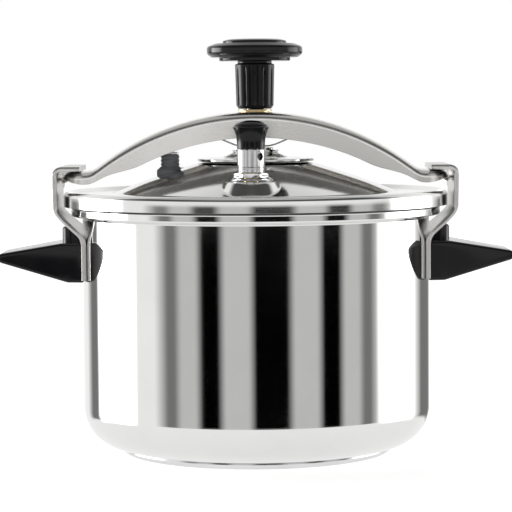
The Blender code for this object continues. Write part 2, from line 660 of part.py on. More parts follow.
def hex_nut(name, across, bore, low, high, place, parent, look):
    """A hexagon nut with chamfered corners: a turned blank met by a hexagon, then bored."""
    body = extruded(polygon_across_flats(across), low, high, "xy")
    body.transform(Matrix.Translation((*place, 0.0)))
    nut = add_object(name, body, parent, look)
    reach = across / 2 / math.cos(math.pi / 6)
    cut = reach - across / 2
    blank = turned([(0.0, low), (across / 2, low), (reach, low + cut / 2), (reach, high - cut / 2),
                    (across / 2, high), (0.0, high)], SMALL_ROUND_STEPS, place)
    combine(nut, add_object(name + "_blank", blank, helper=True), "INTERSECT")
    hole = cylinder(bore, low - CUT_THROUGH, high + CUT_THROUGH, TINY_ROUND_STEPS, place)
    combine(nut, add_object(name + "_bore", hole, helper=True), "DIFFERENCE")


def needle_and_spring(parent, bright):
    """The pin that closes the nozzle, and the spring that holds it down."""
    place = (VALVE_X, VALVE_Y)
    head_low = NOZZLE_TOP_Z + GAP
    head_top = head_low + 0.0018
    ceiling = valve_cap_ceiling()
    tip = NOZZLE_TOP_Z - 0.004
    needle = [
        (0.0, tip), (NEEDLE_RADIUS * 0.5, tip), (NEEDLE_RADIUS, tip + 0.001), (NEEDLE_RADIUS, head_low),
        (NEEDLE_HEAD_RADIUS, head_low), (NEEDLE_HEAD_RADIUS, head_top), (NEEDLE_RADIUS, head_top),
        (NEEDLE_RADIUS, ceiling - 0.001), (0.0, ceiling - 0.001),
    ]
    add_object("regulator_needle", turned(needle, TINY_ROUND_STEPS, place), parent, bright)
    low = head_top + GAP + SPRING_WIRE_RADIUS
    high = ceiling - GAP - SPRING_WIRE_RADIUS
    coil = NEEDLE_RADIUS + 3 * SPRING_WIRE_RADIUS + GAP
    per_turn = 10
    steps = SPRING_TURNS * per_turn
    route = []
    for k in range(steps + 1):
        angle = 2 * math.pi * k / per_turn
        route.append((VALVE_X + coil * math.cos(angle), VALVE_Y + coil * math.sin(angle),
                      low + (high - low) * k / steps))
    add_object("regulator_spring", swept_wire(route, SPRING_WIRE_RADIUS, 4), parent, bright)


def valve_cap_ceiling():
    return VALVE_CAP_Z + VALVE_CAP_HEIGHT - 0.003


def regulator_pieces(parent, steel, black):
    place = (VALVE_X, VALVE_Y)
    cavity = WEIGHT_RADIUS - WEIGHT_WALL
    weight = rounded([
        (cavity, WEIGHT_Z), (WEIGHT_RADIUS, WEIGHT_Z, 0.0004), (WEIGHT_RADIUS, WEIGHT_TOP_Z),
        (cavity - 0.001, WEIGHT_TOP_Z), (cavity - 0.001, WEIGHT_TOP_Z - 0.002), (cavity, WEIGHT_TOP_Z - 0.003),
    ])
    body = add_object("regulator_weight", turned(weight, SMALL_ROUND_STEPS, place, closed=True), parent, steel)
    drill = cylinder(STEAM_HOLE_RADIUS, 0.0, 2 * WEIGHT_RADIUS, TINY_ROUND_STEPS)
    drill.transform(Matrix.Translation((*place, WEIGHT_TOP_Z - 0.0035 - STEAM_HOLE_RADIUS / 3))
                    @ Matrix.Rotation(STEAM_HOLE_DIRECTION, 4, "Z") @ Matrix.Rotation(math.pi / 2, 4, "Y"))
    combine(body, add_object("steam_drill", drill, helper=True), "DIFFERENCE")
    bore = cavity - 0.001
    rim_z = VALVE_CAP_Z + VALVE_CAP_HEIGHT
    flare_radius = WEIGHT_RADIUS + VALVE_CAP_FLARE
    cap = [(bore, VALVE_CAP_Z), (WEIGHT_RADIUS, VALVE_CAP_Z)]
    flare_steps = 6
    for k in range(1, flare_steps + 1):
        share = k / flare_steps
        cap.append((WEIGHT_RADIUS + VALVE_CAP_FLARE * share ** 2.6, VALVE_CAP_Z + VALVE_CAP_HEIGHT * share))
    cap += [(flare_radius - 0.0004, rim_z + 0.0006)]
    dome_steps = 5
    for k in range(1, dome_steps + 1):
        angle = math.pi / 2 * k / dome_steps
        cap.append(((flare_radius - 0.0012) * math.cos(angle),
                    rim_z + 0.0006 + (VALVE_CAP_DOME - 0.0006) * math.sin(angle)))
    cap[-1] = (0.0, rim_z + VALVE_CAP_DOME)
    cap += [(0.0, valve_cap_ceiling()), (bore, valve_cap_ceiling())]
    add_object("regulator_cap", turned(cap, SMALL_ROUND_STEPS, place, closed=True), parent, black)


# ---------------------------------------------------------------- safety valve
def safety_fixed_pieces(parent, steel, silicone):
    place = (SAFETY_X, SAFETY_Y)
    lid_z = cone_z(math.hypot(SAFETY_X, SAFETY_Y))
    under = lid_z - LID_SHEET - SAFETY_SPRING_ROOM
    body_top = SAFETY_TOP_Z - SAFETY_TUBE_UNDER_BUTTON
    body = [(SAFETY_BORE_RADIUS, under - SAFETY_NUT_HEIGHT), (SAFETY_BODY_RADIUS, under - SAFETY_NUT_HEIGHT),
            (SAFETY_BODY_RADIUS, body_top), (SAFETY_BORE_RADIUS, body_top)]
    add_object("safety_valve_tube", turned(body, TINY_ROUND_STEPS, place, closed=True), parent, steel)
    hex_nut("safety_valve_nut", SAFETY_NUT_ACROSS, SAFETY_BODY_RADIUS + GAP,
            under - SAFETY_NUT_HEIGHT + 0.0005, under, place, parent, steel)
    inner = SAFETY_BODY_RADIUS + GAP
    outer = inner + SLEEVE_WALL
    low = lid_z - 0.004
    ridge_low = lid_z + 0.0035
    ridge_top = SAFETY_TOP_Z - SAFETY_SLEEVE_UNDER_BUTTON
    ridges = 3
    steps = 4 * ridges
    outline = [(inner, low), (SLEEVE_FOOT_RADIUS, low), (SLEEVE_FOOT_RADIUS, lid_z + 0.0012),
               (outer + 0.0004, ridge_low - 0.0006)]
    for k in range(steps + 1):
        swell = SLEEVE_RIDGE * (0.5 - 0.5 * math.cos(2 * math.pi * ridges * k / steps))
        outline.append((outer - SLEEVE_RIDGE + swell, ridge_low + (ridge_top - ridge_low) * k / steps))
    outline += [(outer - 0.0012, ridge_top + 0.0004), (inner, ridge_top + 0.0004)]
    sleeve = add_object("safety_valve_sleeve", turned(outline, TINY_ROUND_STEPS, place, closed=True),
                        parent, silicone)
    room = turned(lid_upper_outline(-GAP) + [(0.0, SKIRT_Z)], ROUND_STEPS)
    combine(sleeve, add_object("sleeve_lid_room", room, helper=True), "DIFFERENCE")


def safety_pin(parent, bright):
    place = (SAFETY_X, SAFETY_Y)
    lid_z = cone_z(math.hypot(SAFETY_X, SAFETY_Y))
    low = lid_z - LID_SHEET - 2 * SAFETY_SPRING_ROOM
    head_low = SAFETY_TOP_Z - SAFETY_BUTTON_THICKNESS
    outline = rounded([
        (0.0, low), (SAFETY_PIN_RADIUS, low), (SAFETY_PIN_RADIUS, head_low), (SAFETY_BUTTON_RADIUS, head_low),
        (SAFETY_BUTTON_RADIUS, SAFETY_TOP_Z, 0.0005), (0.0, SAFETY_TOP_Z),
    ])
    add_object("safety_valve_pin", turned(outline, TINY_ROUND_STEPS, place), parent, bright)


# ---------------------------------------------------------------- stirrup
def stirrup_ridge(x):
    """Height of the stirrup's back over x: a round arch that runs out softly into the flat tongues."""
    run = STIRRUP_HALF_LENGTH - TONGUE_LENGTH
    radius = (run ** 2 + STIRRUP_RISE ** 2) / (2 * STIRRUP_RISE)
    above = STIRRUP_RISE - radius + math.sqrt(max(0.0, radius ** 2 - x ** 2))
    softness = 0.0022
    return TONGUE_Z + 0.5 * (above + math.sqrt(above ** 2 + softness ** 2)) - 0.5 * (
        math.sqrt(STIRRUP_RISE ** 2 + softness ** 2) - STIRRUP_RISE)


def stirrup_section(x, offset, reach):
    """Ring of the stirrup's outer form at x, shrunk by offset, with its lower edge dropped by reach."""
    run = STIRRUP_HALF_LENGTH - TONGUE_LENGTH
    start = STIRRUP_HALF_LENGTH - offset - STIRRUP_END_HALF_WIDTH
    past = max(0.0, (abs(x) - start) / STIRRUP_END_HALF_WIDTH)
    plan = math.sqrt(max(0.0, 1 - min(1.0, past) ** 2.6))
    middle = max(0.0, 1 - (x / run) ** 2)
    half = STIRRUP_END_HALF_WIDTH + (STIRRUP_MID_HALF_WIDTH - STIRRUP_END_HALF_WIDTH) * middle
    half = (half - offset) * (0.18 + 0.82 * plan)
    deep = smoothstep(run - abs(x), 0.0, STIRRUP_RUN_OUT)
    depth = STIRRUP_END_DEPTH + (STIRRUP_MID_DEPTH - STIRRUP_END_DEPTH) * deep
    ridge = stirrup_ridge(x)
    edge = ridge - depth + STIRRUP_END_LIFT * min(1.0, past) ** 2 - reach
    ridge -= offset
    shoulder = min(STIRRUP_SHOULDER - 0.4 * offset, 0.6 * half)
    arc = [(half - shoulder + shoulder * math.sin(a), ridge - shoulder + shoulder * math.cos(a))
           for a in (math.pi / 2 * k / 3 for k in range(4))]
    right = arc + [(half, edge)]
    ring = right + [(-y, z) for y, z in reversed(right)]
    return [(x, y, z) for y, z in ring]


def stirrup_stations(length):
    middle = length - STIRRUP_END_HALF_WIDTH
    count = 11
    xs = [-middle + 2 * middle * k / (2 * count) for k in range(2 * count + 1)]
    ends = [middle + STIRRUP_END_HALF_WIDTH * math.sin(math.pi / 2 * k / 4) for k in range(1, 5)]
    return [-x for x in reversed(ends)] + xs + ends


def stirrup(parent, look):
    outer = [stirrup_section(x, 0.0, 0.0) for x in stirrup_stations(STIRRUP_HALF_LENGTH)]
    body = add_object("stirrup", lofted(outer), parent, look)
    inner = [stirrup_section(x, STIRRUP_SHEET, 0.02)
             for x in stirrup_stations(STIRRUP_HALF_LENGTH - STIRRUP_SHEET)]
    combine(body, add_object("stirrup_hollow", lofted(inner), helper=True), "DIFFERENCE")
    hole = SPINDLE_RADIUS + RUNNING_CLEARANCE + BUSH_WALL + GAP
    drill = cylinder(hole, RIDGE_Z - 2 * CUT_THROUGH, RIDGE_Z + CUT_THROUGH)
    combine(body, add_object("bush_hole", drill, helper=True), "DIFFERENCE")


def bush_pieces(parent, brass, steel):
    bore = SPINDLE_RADIUS + RUNNING_CLEARANCE
    barrel = bore + BUSH_WALL
    flange = barrel + BUSH_FLANGE_WIDTH
    low = RIDGE_Z + GAP
    outline = [(bore, low - BUSH_LENGTH), (barrel, low - BUSH_LENGTH), (barrel, low), (flange, low),
               (flange, low + BUSH_FLANGE), (bore, low + BUSH_FLANGE)]
    add_object("threaded_bush", turned(outline, SMALL_ROUND_STEPS, closed=True), parent, brass)
    top = RIDGE_Z - STIRRUP_SHEET - 2 * GAP - LOCK_WASHER_ROOM
    hex_nut("bush_lock_nut", LOCK_NUT_ACROSS, barrel + GAP, top - LOCK_NUT_HEIGHT, top, (0.0, 0.0), parent, steel)


# ---------------------------------------------------------------- foot, clip, spindle and knob
def pressure_foot(parent, look):
    bore = JOURNAL_RADIUS + RUNNING_CLEARANCE
    recess = JOURNAL_RADIUS + 0.0035
    recess_top = FOOT_Z + 0.0028
    collar_z = FOOT_TOP_Z - FOOT_COLLAR_HEIGHT
    outline = rounded([
        (recess, FOOT_Z), (FOOT_RADIUS, FOOT_Z), (FOOT_RADIUS, FOOT_Z + 0.0006),
        (FOOT_COLLAR_RADIUS - 0.001, collar_z), (FOOT_COLLAR_RADIUS, collar_z),
        (FOOT_COLLAR_RADIUS, FOOT_TOP_Z, 0.0003), (bore, FOOT_TOP_Z), (bore, recess_top), (recess, recess_top),
    ], 2)
    add_object("pressure_foot", turned(outline, SMALL_ROUND_STEPS, closed=True), parent, look)


def clip_wire(parent, look):
    """Spring wire that lies round the spindle on the foot's collar, with an arm up each side of the arch."""
    radius = SPINDLE_RADIUS + 2 * CLIP_WIRE_RADIUS + 2 * GAP
    z = FOOT_TOP_Z + GAP + CLIP_WIRE_RADIUS
    bend_x = FOOT_COLLAR_RADIUS - 0.001
    arm = [(CLIP_REACH - (CLIP_REACH - bend_x) * k / 4, radius,
            z + CLIP_SLOPE * (CLIP_REACH - bend_x) * (1 - k / 4)) for k in range(5)]
    ring_steps = 10
    half_turn = [(radius * math.sin(a), radius * math.cos(a), z)
                 for a in (math.pi * (k / ring_steps) for k in range(1, ring_steps))]
    first = arm + [(0.0, radius, z)] + [(-x, y, zz) for x, y, zz in half_turn] + [(0.0, -radius, z)]
    second = [(-x, -y, zz) for x, y, zz in reversed(arm)]
    add_object("lid_clip_wire", swept_wire(first + second, CLIP_WIRE_RADIUS), parent, look)


def spindle_pieces(parent, steel, spring_steel):
    shoulder_z = FOOT_TOP_Z + GAP
    end_z = FOOT_Z + GAP
    groove_low = FOOT_Z + 0.0012
    groove_high = groove_low + 0.0012
    groove = JOURNAL_RADIUS - 0.0007
    top = DISC_Z - 0.002
    screw = 0.0022
    outline = [
        (0.0, end_z), (JOURNAL_RADIUS - 0.0004, end_z), (JOURNAL_RADIUS, end_z + 0.0004),
        (JOURNAL_RADIUS, groove_low), (groove, groove_low), (groove, groove_high),
        (JOURNAL_RADIUS, groove_high), (JOURNAL_RADIUS, shoulder_z), (SPINDLE_RADIUS, shoulder_z + 0.0005),
        (SPINDLE_RADIUS, top), (screw, top), (screw, top - 0.012), (0.0, top - 0.012),
    ]
    add_object("clamp_spindle", turned(outline, SMALL_ROUND_STEPS), parent, steel)
    inner, outer = groove + GAP / 2, JOURNAL_RADIUS + 0.0025
    opening = math.radians(35)
    steps = 22
    section_z = (groove_low + GAP / 2, groove_high - GAP / 2)
    sections = []
    for k in range(steps + 1):
        angle = opening + (2 * math.pi - 2 * opening) * k / steps
        c, s = math.cos(angle), math.sin(angle)
        sections.append([(r * c, r * s, z) for r, z in (
            (inner, section_z[0]), (outer, section_z[0]), (outer, section_z[1]), (inner, section_z[1]))])
    add_object("spindle_retaining_ring", lofted(sections), parent, spring_steel)


def knob_pieces(parent, black, bright):
    bore = SPINDLE_RADIUS + GAP
    spindle_top = DISC_Z - 0.002
    pocket_radius = 0.0060
    pocket_low = spindle_top + 0.003
    disc_top = DISC_Z + KNOB_DISC_HEIGHT + 0.0023
    step_radius = KNOB_DISC_RADIUS - 0.008
    neck = KNOB_STEM_RADIUS - 0.0018
    neck_low = DISC_Z - 0.0022
    cap_seat = disc_top - 0.0012
    screw_hole = 0.0024
    outline = rounded([
        (bore, KNOB_Z), (KNOB_STEM_RADIUS - 0.0015, KNOB_Z), (KNOB_STEM_RADIUS - 0.0005, KNOB_Z + 0.0019),
        (KNOB_STEM_RADIUS, neck_low, 0.0006), (neck, neck_low + 0.0008), (neck, DISC_Z),
        (step_radius, DISC_Z, 0.0006), (step_radius + 0.0003, DISC_Z + 0.0021),
        (KNOB_DISC_RADIUS - 0.003, DISC_Z + 0.0023, 0.001), (KNOB_DISC_RADIUS, DISC_Z + 0.0045, 0.0025),
        (KNOB_DISC_RADIUS, disc_top - 0.002, 0.0025), (KNOB_DISC_RADIUS - 0.005, disc_top, 0.002),
        (KNOB_CAP_RADIUS + GAP, disc_top), (KNOB_CAP_RADIUS + GAP, cap_seat), (pocket_radius, cap_seat),
        (pocket_radius, pocket_low), (screw_hole, pocket_low), (screw_hole, spindle_top + GAP),
        (bore, spindle_top + GAP),
    ], 2)
    add_object("clamp_knob", turned(outline, SMALL_ROUND_STEPS + 8, closed=True), parent, black)
    cap_low = cap_seat + GAP
    cap_top = disc_top + KNOB_CAP_HEIGHT
    cap = rounded([
        (0.0, cap_low), (KNOB_CAP_RADIUS, cap_low), (KNOB_CAP_RADIUS, cap_top - 0.0008, 0.0012),
        (KNOB_CAP_RADIUS - 0.004, cap_top), (0.0, cap_top),
    ], 3)
    add_object("knob_cap", turned(cap, SMALL_ROUND_STEPS + 8), parent, black)
    shank = 0.0020
    head_low = pocket_low + GAP
    fixing = rounded([
        (0.0, spindle_top - 0.010), (shank, spindle_top - 0.010), (shank, head_low), (0.0045, head_low),
        (0.0045, head_low + 0.003, 0.001), (0.0, head_low + 0.003),
    ], 2)
    add_object("knob_fixing_screw", turned(fixing, TINY_ROUND_STEPS), parent, bright)


# ---------------------------------------------------------------- assembly
def build():
    for old in list(bpy.data.objects):
        bpy.data.objects.remove(old, do_unlink=True)
    mirror_steel = material("polished_steel", (0.78, 0.78, 0.77), 1.0, 0.06)
    satin_steel = material("satin_steel", (0.62, 0.60, 0.57), 1.0, 0.28)
    bright_steel = material("bright_steel", (0.70, 0.70, 0.70), 1.0, 0.18)
    aluminium = material("aluminium", (0.80, 0.80, 0.81), 1.0, 0.35)
    brass = material("brass", (0.72, 0.58, 0.33), 1.0, 0.25)
    black = material("black_phenolic", (0.012, 0.012, 0.014), 0.0, 0.22)
    silicone = material("grey_silicone", (0.095, 0.10, 0.11), 0.0, 0.55)
    rubber = material("gasket_rubber", (0.16, 0.16, 0.16), 0.0, 0.6)

    pot_shell(mirror_steel)
    base_pieces(satin_steel, aluminium)
    side_pieces(satin_steel, black, bright_steel)

    closure = joint_frame("closure_frame", (0.0, 0.0, TONGUE_Z))
    stirrup(closure, satin_steel)
    bush_pieces(closure, brass, satin_steel)

    travel = joint_frame("screw_frame", (0.0, 0.0, FOOT_TOP_Z), closure)
    pressure_foot(travel, mirror_steel)
    clip_wire(travel, bright_steel)

    turn = joint_frame("knob_frame", (0.0, 0.0, FOOT_TOP_Z), travel)
    spindle_pieces(turn, bright_steel, bright_steel)
    knob_pieces(turn, black, bright_steel)

    swivel = joint_frame("lid_frame", (0.0, 0.0, CROWN_Z), travel)
    lid_shell(swivel, mirror_steel)
    lid_gasket(swivel, rubber)
    centre_plate(swivel, mirror_steel)
    nozzle_pieces(swivel, satin_steel, brass)
    safety_fixed_pieces(swivel, satin_steel, silicone)

    lift = joint_frame("needle_frame", (VALVE_X, VALVE_Y, NOZZLE_TOP_Z), swivel)
    needle_and_spring(lift, bright_steel)
    regulator_pieces(joint_frame("regulator_frame", (VALVE_X, VALVE_Y, WEIGHT_Z), lift), bright_steel, black)
    safety_pin(joint_frame("safety_pin_frame", (SAFETY_X, SAFETY_Y, SAFETY_TOP_Z), swivel), bright_steel)


build()
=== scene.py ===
"""Looks of the stovetop pressure cooker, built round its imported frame. Metres, +Z up."""

import math

import bmesh
import bpy
import numpy as np
from mathutils import Matrix, Vector


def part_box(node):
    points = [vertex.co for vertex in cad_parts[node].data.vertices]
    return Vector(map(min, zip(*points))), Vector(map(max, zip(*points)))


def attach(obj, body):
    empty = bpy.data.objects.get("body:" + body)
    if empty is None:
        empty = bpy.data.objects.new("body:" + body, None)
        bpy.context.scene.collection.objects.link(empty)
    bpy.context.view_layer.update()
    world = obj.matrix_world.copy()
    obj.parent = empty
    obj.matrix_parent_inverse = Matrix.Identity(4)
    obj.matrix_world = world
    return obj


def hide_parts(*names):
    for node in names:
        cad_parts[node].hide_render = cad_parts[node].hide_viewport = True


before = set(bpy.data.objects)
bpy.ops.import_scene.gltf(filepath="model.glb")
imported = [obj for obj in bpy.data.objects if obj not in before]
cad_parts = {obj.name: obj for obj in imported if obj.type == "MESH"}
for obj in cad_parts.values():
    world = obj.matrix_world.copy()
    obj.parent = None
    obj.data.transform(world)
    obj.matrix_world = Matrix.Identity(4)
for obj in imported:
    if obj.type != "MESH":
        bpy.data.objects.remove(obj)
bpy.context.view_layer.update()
scene = bpy.context.scene

# ---------------------------------------------------------------- places, from the frame's boxes
GAP = 0.0003
SMOOTH_ANGLE = math.radians(38)

pot_low, pot_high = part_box("pot_shell")
RIM_RADIUS, POT_HEIGHT, FLOOR_Z = pot_high.x, pot_high.z, pot_low.z
WALL_RADIUS = RIM_RADIUS - 0.007
POT_WALL = 0.001
POT_CORNER_RADIUS = 0.025
RIM_DEPTH = 0.0055

cap_low, cap_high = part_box("base_cap")
BASE_CAP_RADIUS, BASE_CAP_HEIGHT = cap_high.x, cap_high.z
BASE_CAP_SHEET = 0.0008
BASE_CAP_EDGE = 0.003

lid_low, lid_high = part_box("lid_shell")
LID_RADIUS, SKIRT_Z, CROWN_Z = lid_high.x, lid_low.z, lid_high.z
LID_SHEET = 0.0012
LID_EDGE_Z = SKIRT_Z + 0.0095
CHANNEL_Z = LID_EDGE_Z - 0.0015
CONE_RADIUS = LID_RADIUS - 0.032
LID_CROWN_RADIUS = 0.036
CONE_BULGE = 0.0009

plate_low, plate_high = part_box("centre_plate")
PLATE_RADIUS, PLATE_Z, PLATE_TOP_Z = plate_high.x, plate_low.z, plate_high.z

arch_low, arch_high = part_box("stirrup")
STIRRUP_HALF_LENGTH, RIDGE_Z = arch_high.x, arch_high.z
STIRRUP_SHEET = 0.0025
STIRRUP_RISE = 0.0374
STIRRUP_MID_DEPTH = 0.0164
STIRRUP_END_DEPTH = 0.0085
STIRRUP_MID_HALF_WIDTH = arch_high.y
STIRRUP_END_HALF_WIDTH = 0.0165
STIRRUP_SHOULDER = 0.0048
STIRRUP_RUN_OUT = 0.032
STIRRUP_END_LIFT = 0.0045
TONGUE_LENGTH = 0.0197
TONGUE_Z = RIDGE_Z - STIRRUP_RISE
BUSH_HOLE_RADIUS = 0.0091

lug_low, lug_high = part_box("right_hook_lug")
LUG_SHEET = 0.0031
LUG_WALL_RADIUS = WALL_RADIUS + GAP
LUG_HEAD_X = STIRRUP_HALF_LENGTH + 0.0014
LUG_FOOT_Z = lug_low.z
LUG_BEND_Z = LUG_FOOT_Z + 0.026
LUG_HALF_WIDTH = 0.032
LUG_NECK_HALF_WIDTH = 0.025
LUG_LIP_REACH = 0.0171
LUG_EAR_LENGTH = 0.013
LUG_EAR_TURN_IN = 0.006
LIP_Z = TONGUE_Z + GAP

grip_low, grip_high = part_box("right_handle")
HANDLE_Z = grip_low.z
HANDLE_ROOT_X = LUG_WALL_RADIUS + LUG_SHEET
HANDLE_LENGTH = grip_high.x - HANDLE_ROOT_X
HANDLE_ROOT_DEPTH = 0.0248
HANDLE_TIP_DEPTH = 0.0052
HANDLE_ROOT_HALF_WIDTH = 0.030
HANDLE_TIP_HALF_WIDTH = 0.021
BOSS_HALF_WIDTH = 0.026
BOSS_X = HANDLE_ROOT_X + 0.0082
BOSS_TOP_Z = grip_high.z
BOSS_EDGE = 0.0016
LUG_EDGE = 0.0006

weight_low, weight_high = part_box("regulator_weight")
VALVE_X = (weight_low.x + weight_high.x) / 2
VALVE_Y = (weight_low.y + weight_high.y) / 2
PAD_Z = CHANNEL_Z + 0.0093
PAD_RADIUS = 0.0155
PAD_SLOPE = 0.0093 / 0.0045
NOZZLE_HOLE_RADIUS = 0.0051

pin_low, pin_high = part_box("safety_valve_pin")
SAFETY_X = (pin_low.x + pin_high.x) / 2
SAFETY_Y = (pin_low.y + pin_high.y) / 2
SAFETY_TUBE_HOLE_RADIUS = 0.0038


# ---------------------------------------------------------------- outlines and skins
def rounded(corners, steps=8):
    """An open line through corners (a, b[, radius]) with an arc in place of each one that has a radius."""
    points = []
    for i, corner in enumerate(corners):
        here = Vector(corner[:2])
        radius = corner[2] if len(corner) > 2 else 0.0
        if radius <= 0 or i in (0, len(corners) - 1):
            points.append(tuple(here))
            continue
        back = (Vector(corners[i - 1][:2]) - here).normalized()
        ahead = (Vector(corners[i + 1][:2]) - here).normalized()
        half = back.angle(ahead) / 2
        centre = here + (back + ahead).normalized() * (radius / math.sin(half))
        start = here + back * (radius / math.tan(half)) - centre
        turn = math.pi - 2 * half
        if back.x * ahead.y - back.y * ahead.x > 0:
            turn = -turn
        for k in range(steps + 1):
            c, s = math.cos(turn * k / steps), math.sin(turn * k / steps)
            points.append((centre.x + start.x * c - start.y * s, centre.y + start.x * s + start.y * c))
    return points


def supported(outline, near=0.0003, longest=0.01, closed=False):
    """The outline with extra points close to the ends of its long stretches, so that they shade flat."""
    points = [Vector(p) for p in outline]
    if closed:
        points.append(points[0])
    made = []
    for a, b in zip(points, points[1:]):
        length = (b - a).length
        made.append(a)
        if length < 4 * near:
            continue
        count = max(1, math.ceil(length / longest))
        shares = [near / length] + [k / count for k in range(1, count)] + [1 - near / length]
        made += [a.lerp(b, share) for share in shares]
    if not closed:
        made.append(points[-1])
    return [tuple(p) for p in made]


def smoothstep(value, low, high):
    t = min(1.0, max(0.0, (value - low) / (high - low)))
    return t * t * (3 - 2 * t)


def skin(rows, ends="open"):
    """(points, faces) over rows of points, each a closed loop; ends is open, joined or capped."""
    grid = np.array(rows, float)
    count, width = grid.shape[:2]
    faces = []
    for i in range(count if ends == "joined" else count - 1):
        a, b = i * width, ((i + 1) % count) * width
        for j in range(width):
            k = (j + 1) % width
            faces.append((a + j, a + k, b + k, b + j))
    if ends == "capped":
        faces.append(tuple(reversed(range(width))))
        faces.append(tuple(range((count - 1) * width, count * width)))
    return grid.reshape(-1, 3), faces


def add_object(name, made, outward=True):
    """Gives (points, faces) an object, with doubles merged and its faces turned outward."""
    mesh = bpy.data.meshes.new(name)
    mesh.from_pydata(np.asarray(made[0]).tolist(), [], made[1])
    data = bmesh.new()
    data.from_mesh(mesh)
    bmesh.ops.remove_doubles(data, verts=data.verts, dist=2e-7)
    bmesh.ops.dissolve_degenerate(data, edges=data.edges, dist=1e-8)
    if outward:
        bmesh.ops.recalc_face_normals(data, faces=data.faces)
    data.to_mesh(mesh)
    data.free()
    mesh.shade_smooth()
    mesh.set_sharp_from_angle(angle=SMOOTH_ANGLE)
    obj = bpy.data.objects.new(name, mesh)
    scene.collection.objects.link(obj)
    return obj


def turned(outline, steps=128, centre=(0.0, 0.0), closed=False, shape=None, angles=None):
    """(points, faces) turned about the vertical line at centre. shape(radius, angle, z) changes the points."""
    if angles is None:
        angles = np.arange(steps) * (2 * math.pi / steps)
    rows = []
    for radius, z in outline:
        r, height = np.full(len(angles), float(radius)), np.full(len(angles), float(z))
        if shape is not None:
            r, height = shape(r, angles, height)
        rows.append(np.stack([centre[0] + r * np.cos(angles), centre[1] + r * np.sin(angles), height], axis=1))
    return skin(rows, ends="joined" if closed else "open")


def split(made):
    """(points, faces) with each four-sided face as two triangles, so that no face of a cutter is bent."""
    faces = []
    for face in made[1]:
        if len(face) == 4:
            faces += [(face[0], face[1], face[2]), (face[0], face[2], face[3])]
        else:
            faces.append(face)
    return made[0], faces


def prism(outline, low, high, plane="xy"):
    def place(a, b, depth):
        return (a, b, depth) if plane == "xy" else (a, depth, b)
    return skin([[place(a, b, depth) for a, b in outline] for depth in (low, high)], ends="capped")


def swept(route, radius, sides=12):
    """(points, faces) of a round wire along a route of points."""
    rows, side = [], None
    route = [Vector(p) for p in route]
    for i, here in enumerate(route):
        along = (route[min(i + 1, len(route) - 1)] - route[max(i - 1, 0)]).normalized()
        side = along.orthogonal() if side is None else side
        side = (side - along * side.dot(along)).normalized()
        other = along.cross(side)
        rows.append([here + radius * (side * math.cos(a) + other * math.sin(a))
                     for a in (2 * math.pi * k / sides for k in range(sides))])
    return skin(rows, ends="capped")


def combine(target, tool, operation):
    modifier = target.modifiers.new("cut", "BOOLEAN")
    modifier.operation, modifier.solver, modifier.object = operation, "EXACT", tool
    tool.hide_render = True


def bevelled(target, width, segments=3, angle=SMOOTH_ANGLE):
    modifier = target.modifiers.new("edges", "BEVEL")
    modifier.width, modifier.segments = width, segments
    modifier.limit_method, modifier.angle_limit = "ANGLE", angle
    modifier.harden_normals = False


def applied(obj, angle=SMOOTH_ANGLE):
    """obj with its modifiers made part of its mesh, and its cutters removed."""
    graph = bpy.context.evaluated_depsgraph_get()
    mesh = bpy.data.meshes.new_from_object(obj.evaluated_get(graph))
    tools = [m.object for m in obj.modifiers if m.type == "BOOLEAN"]
    obj.modifiers.clear()
    obj.data = mesh
    for tool in tools:
        bpy.data.objects.remove(tool)
    mesh.shade_smooth()
    mesh.set_sharp_from_angle(angle=angle)
    return obj


def piece(obj, body, nodes, look):
    obj.data.materials.clear()
    obj.data.materials.append(look)
    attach(obj, body)
    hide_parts(*nodes)
    return obj


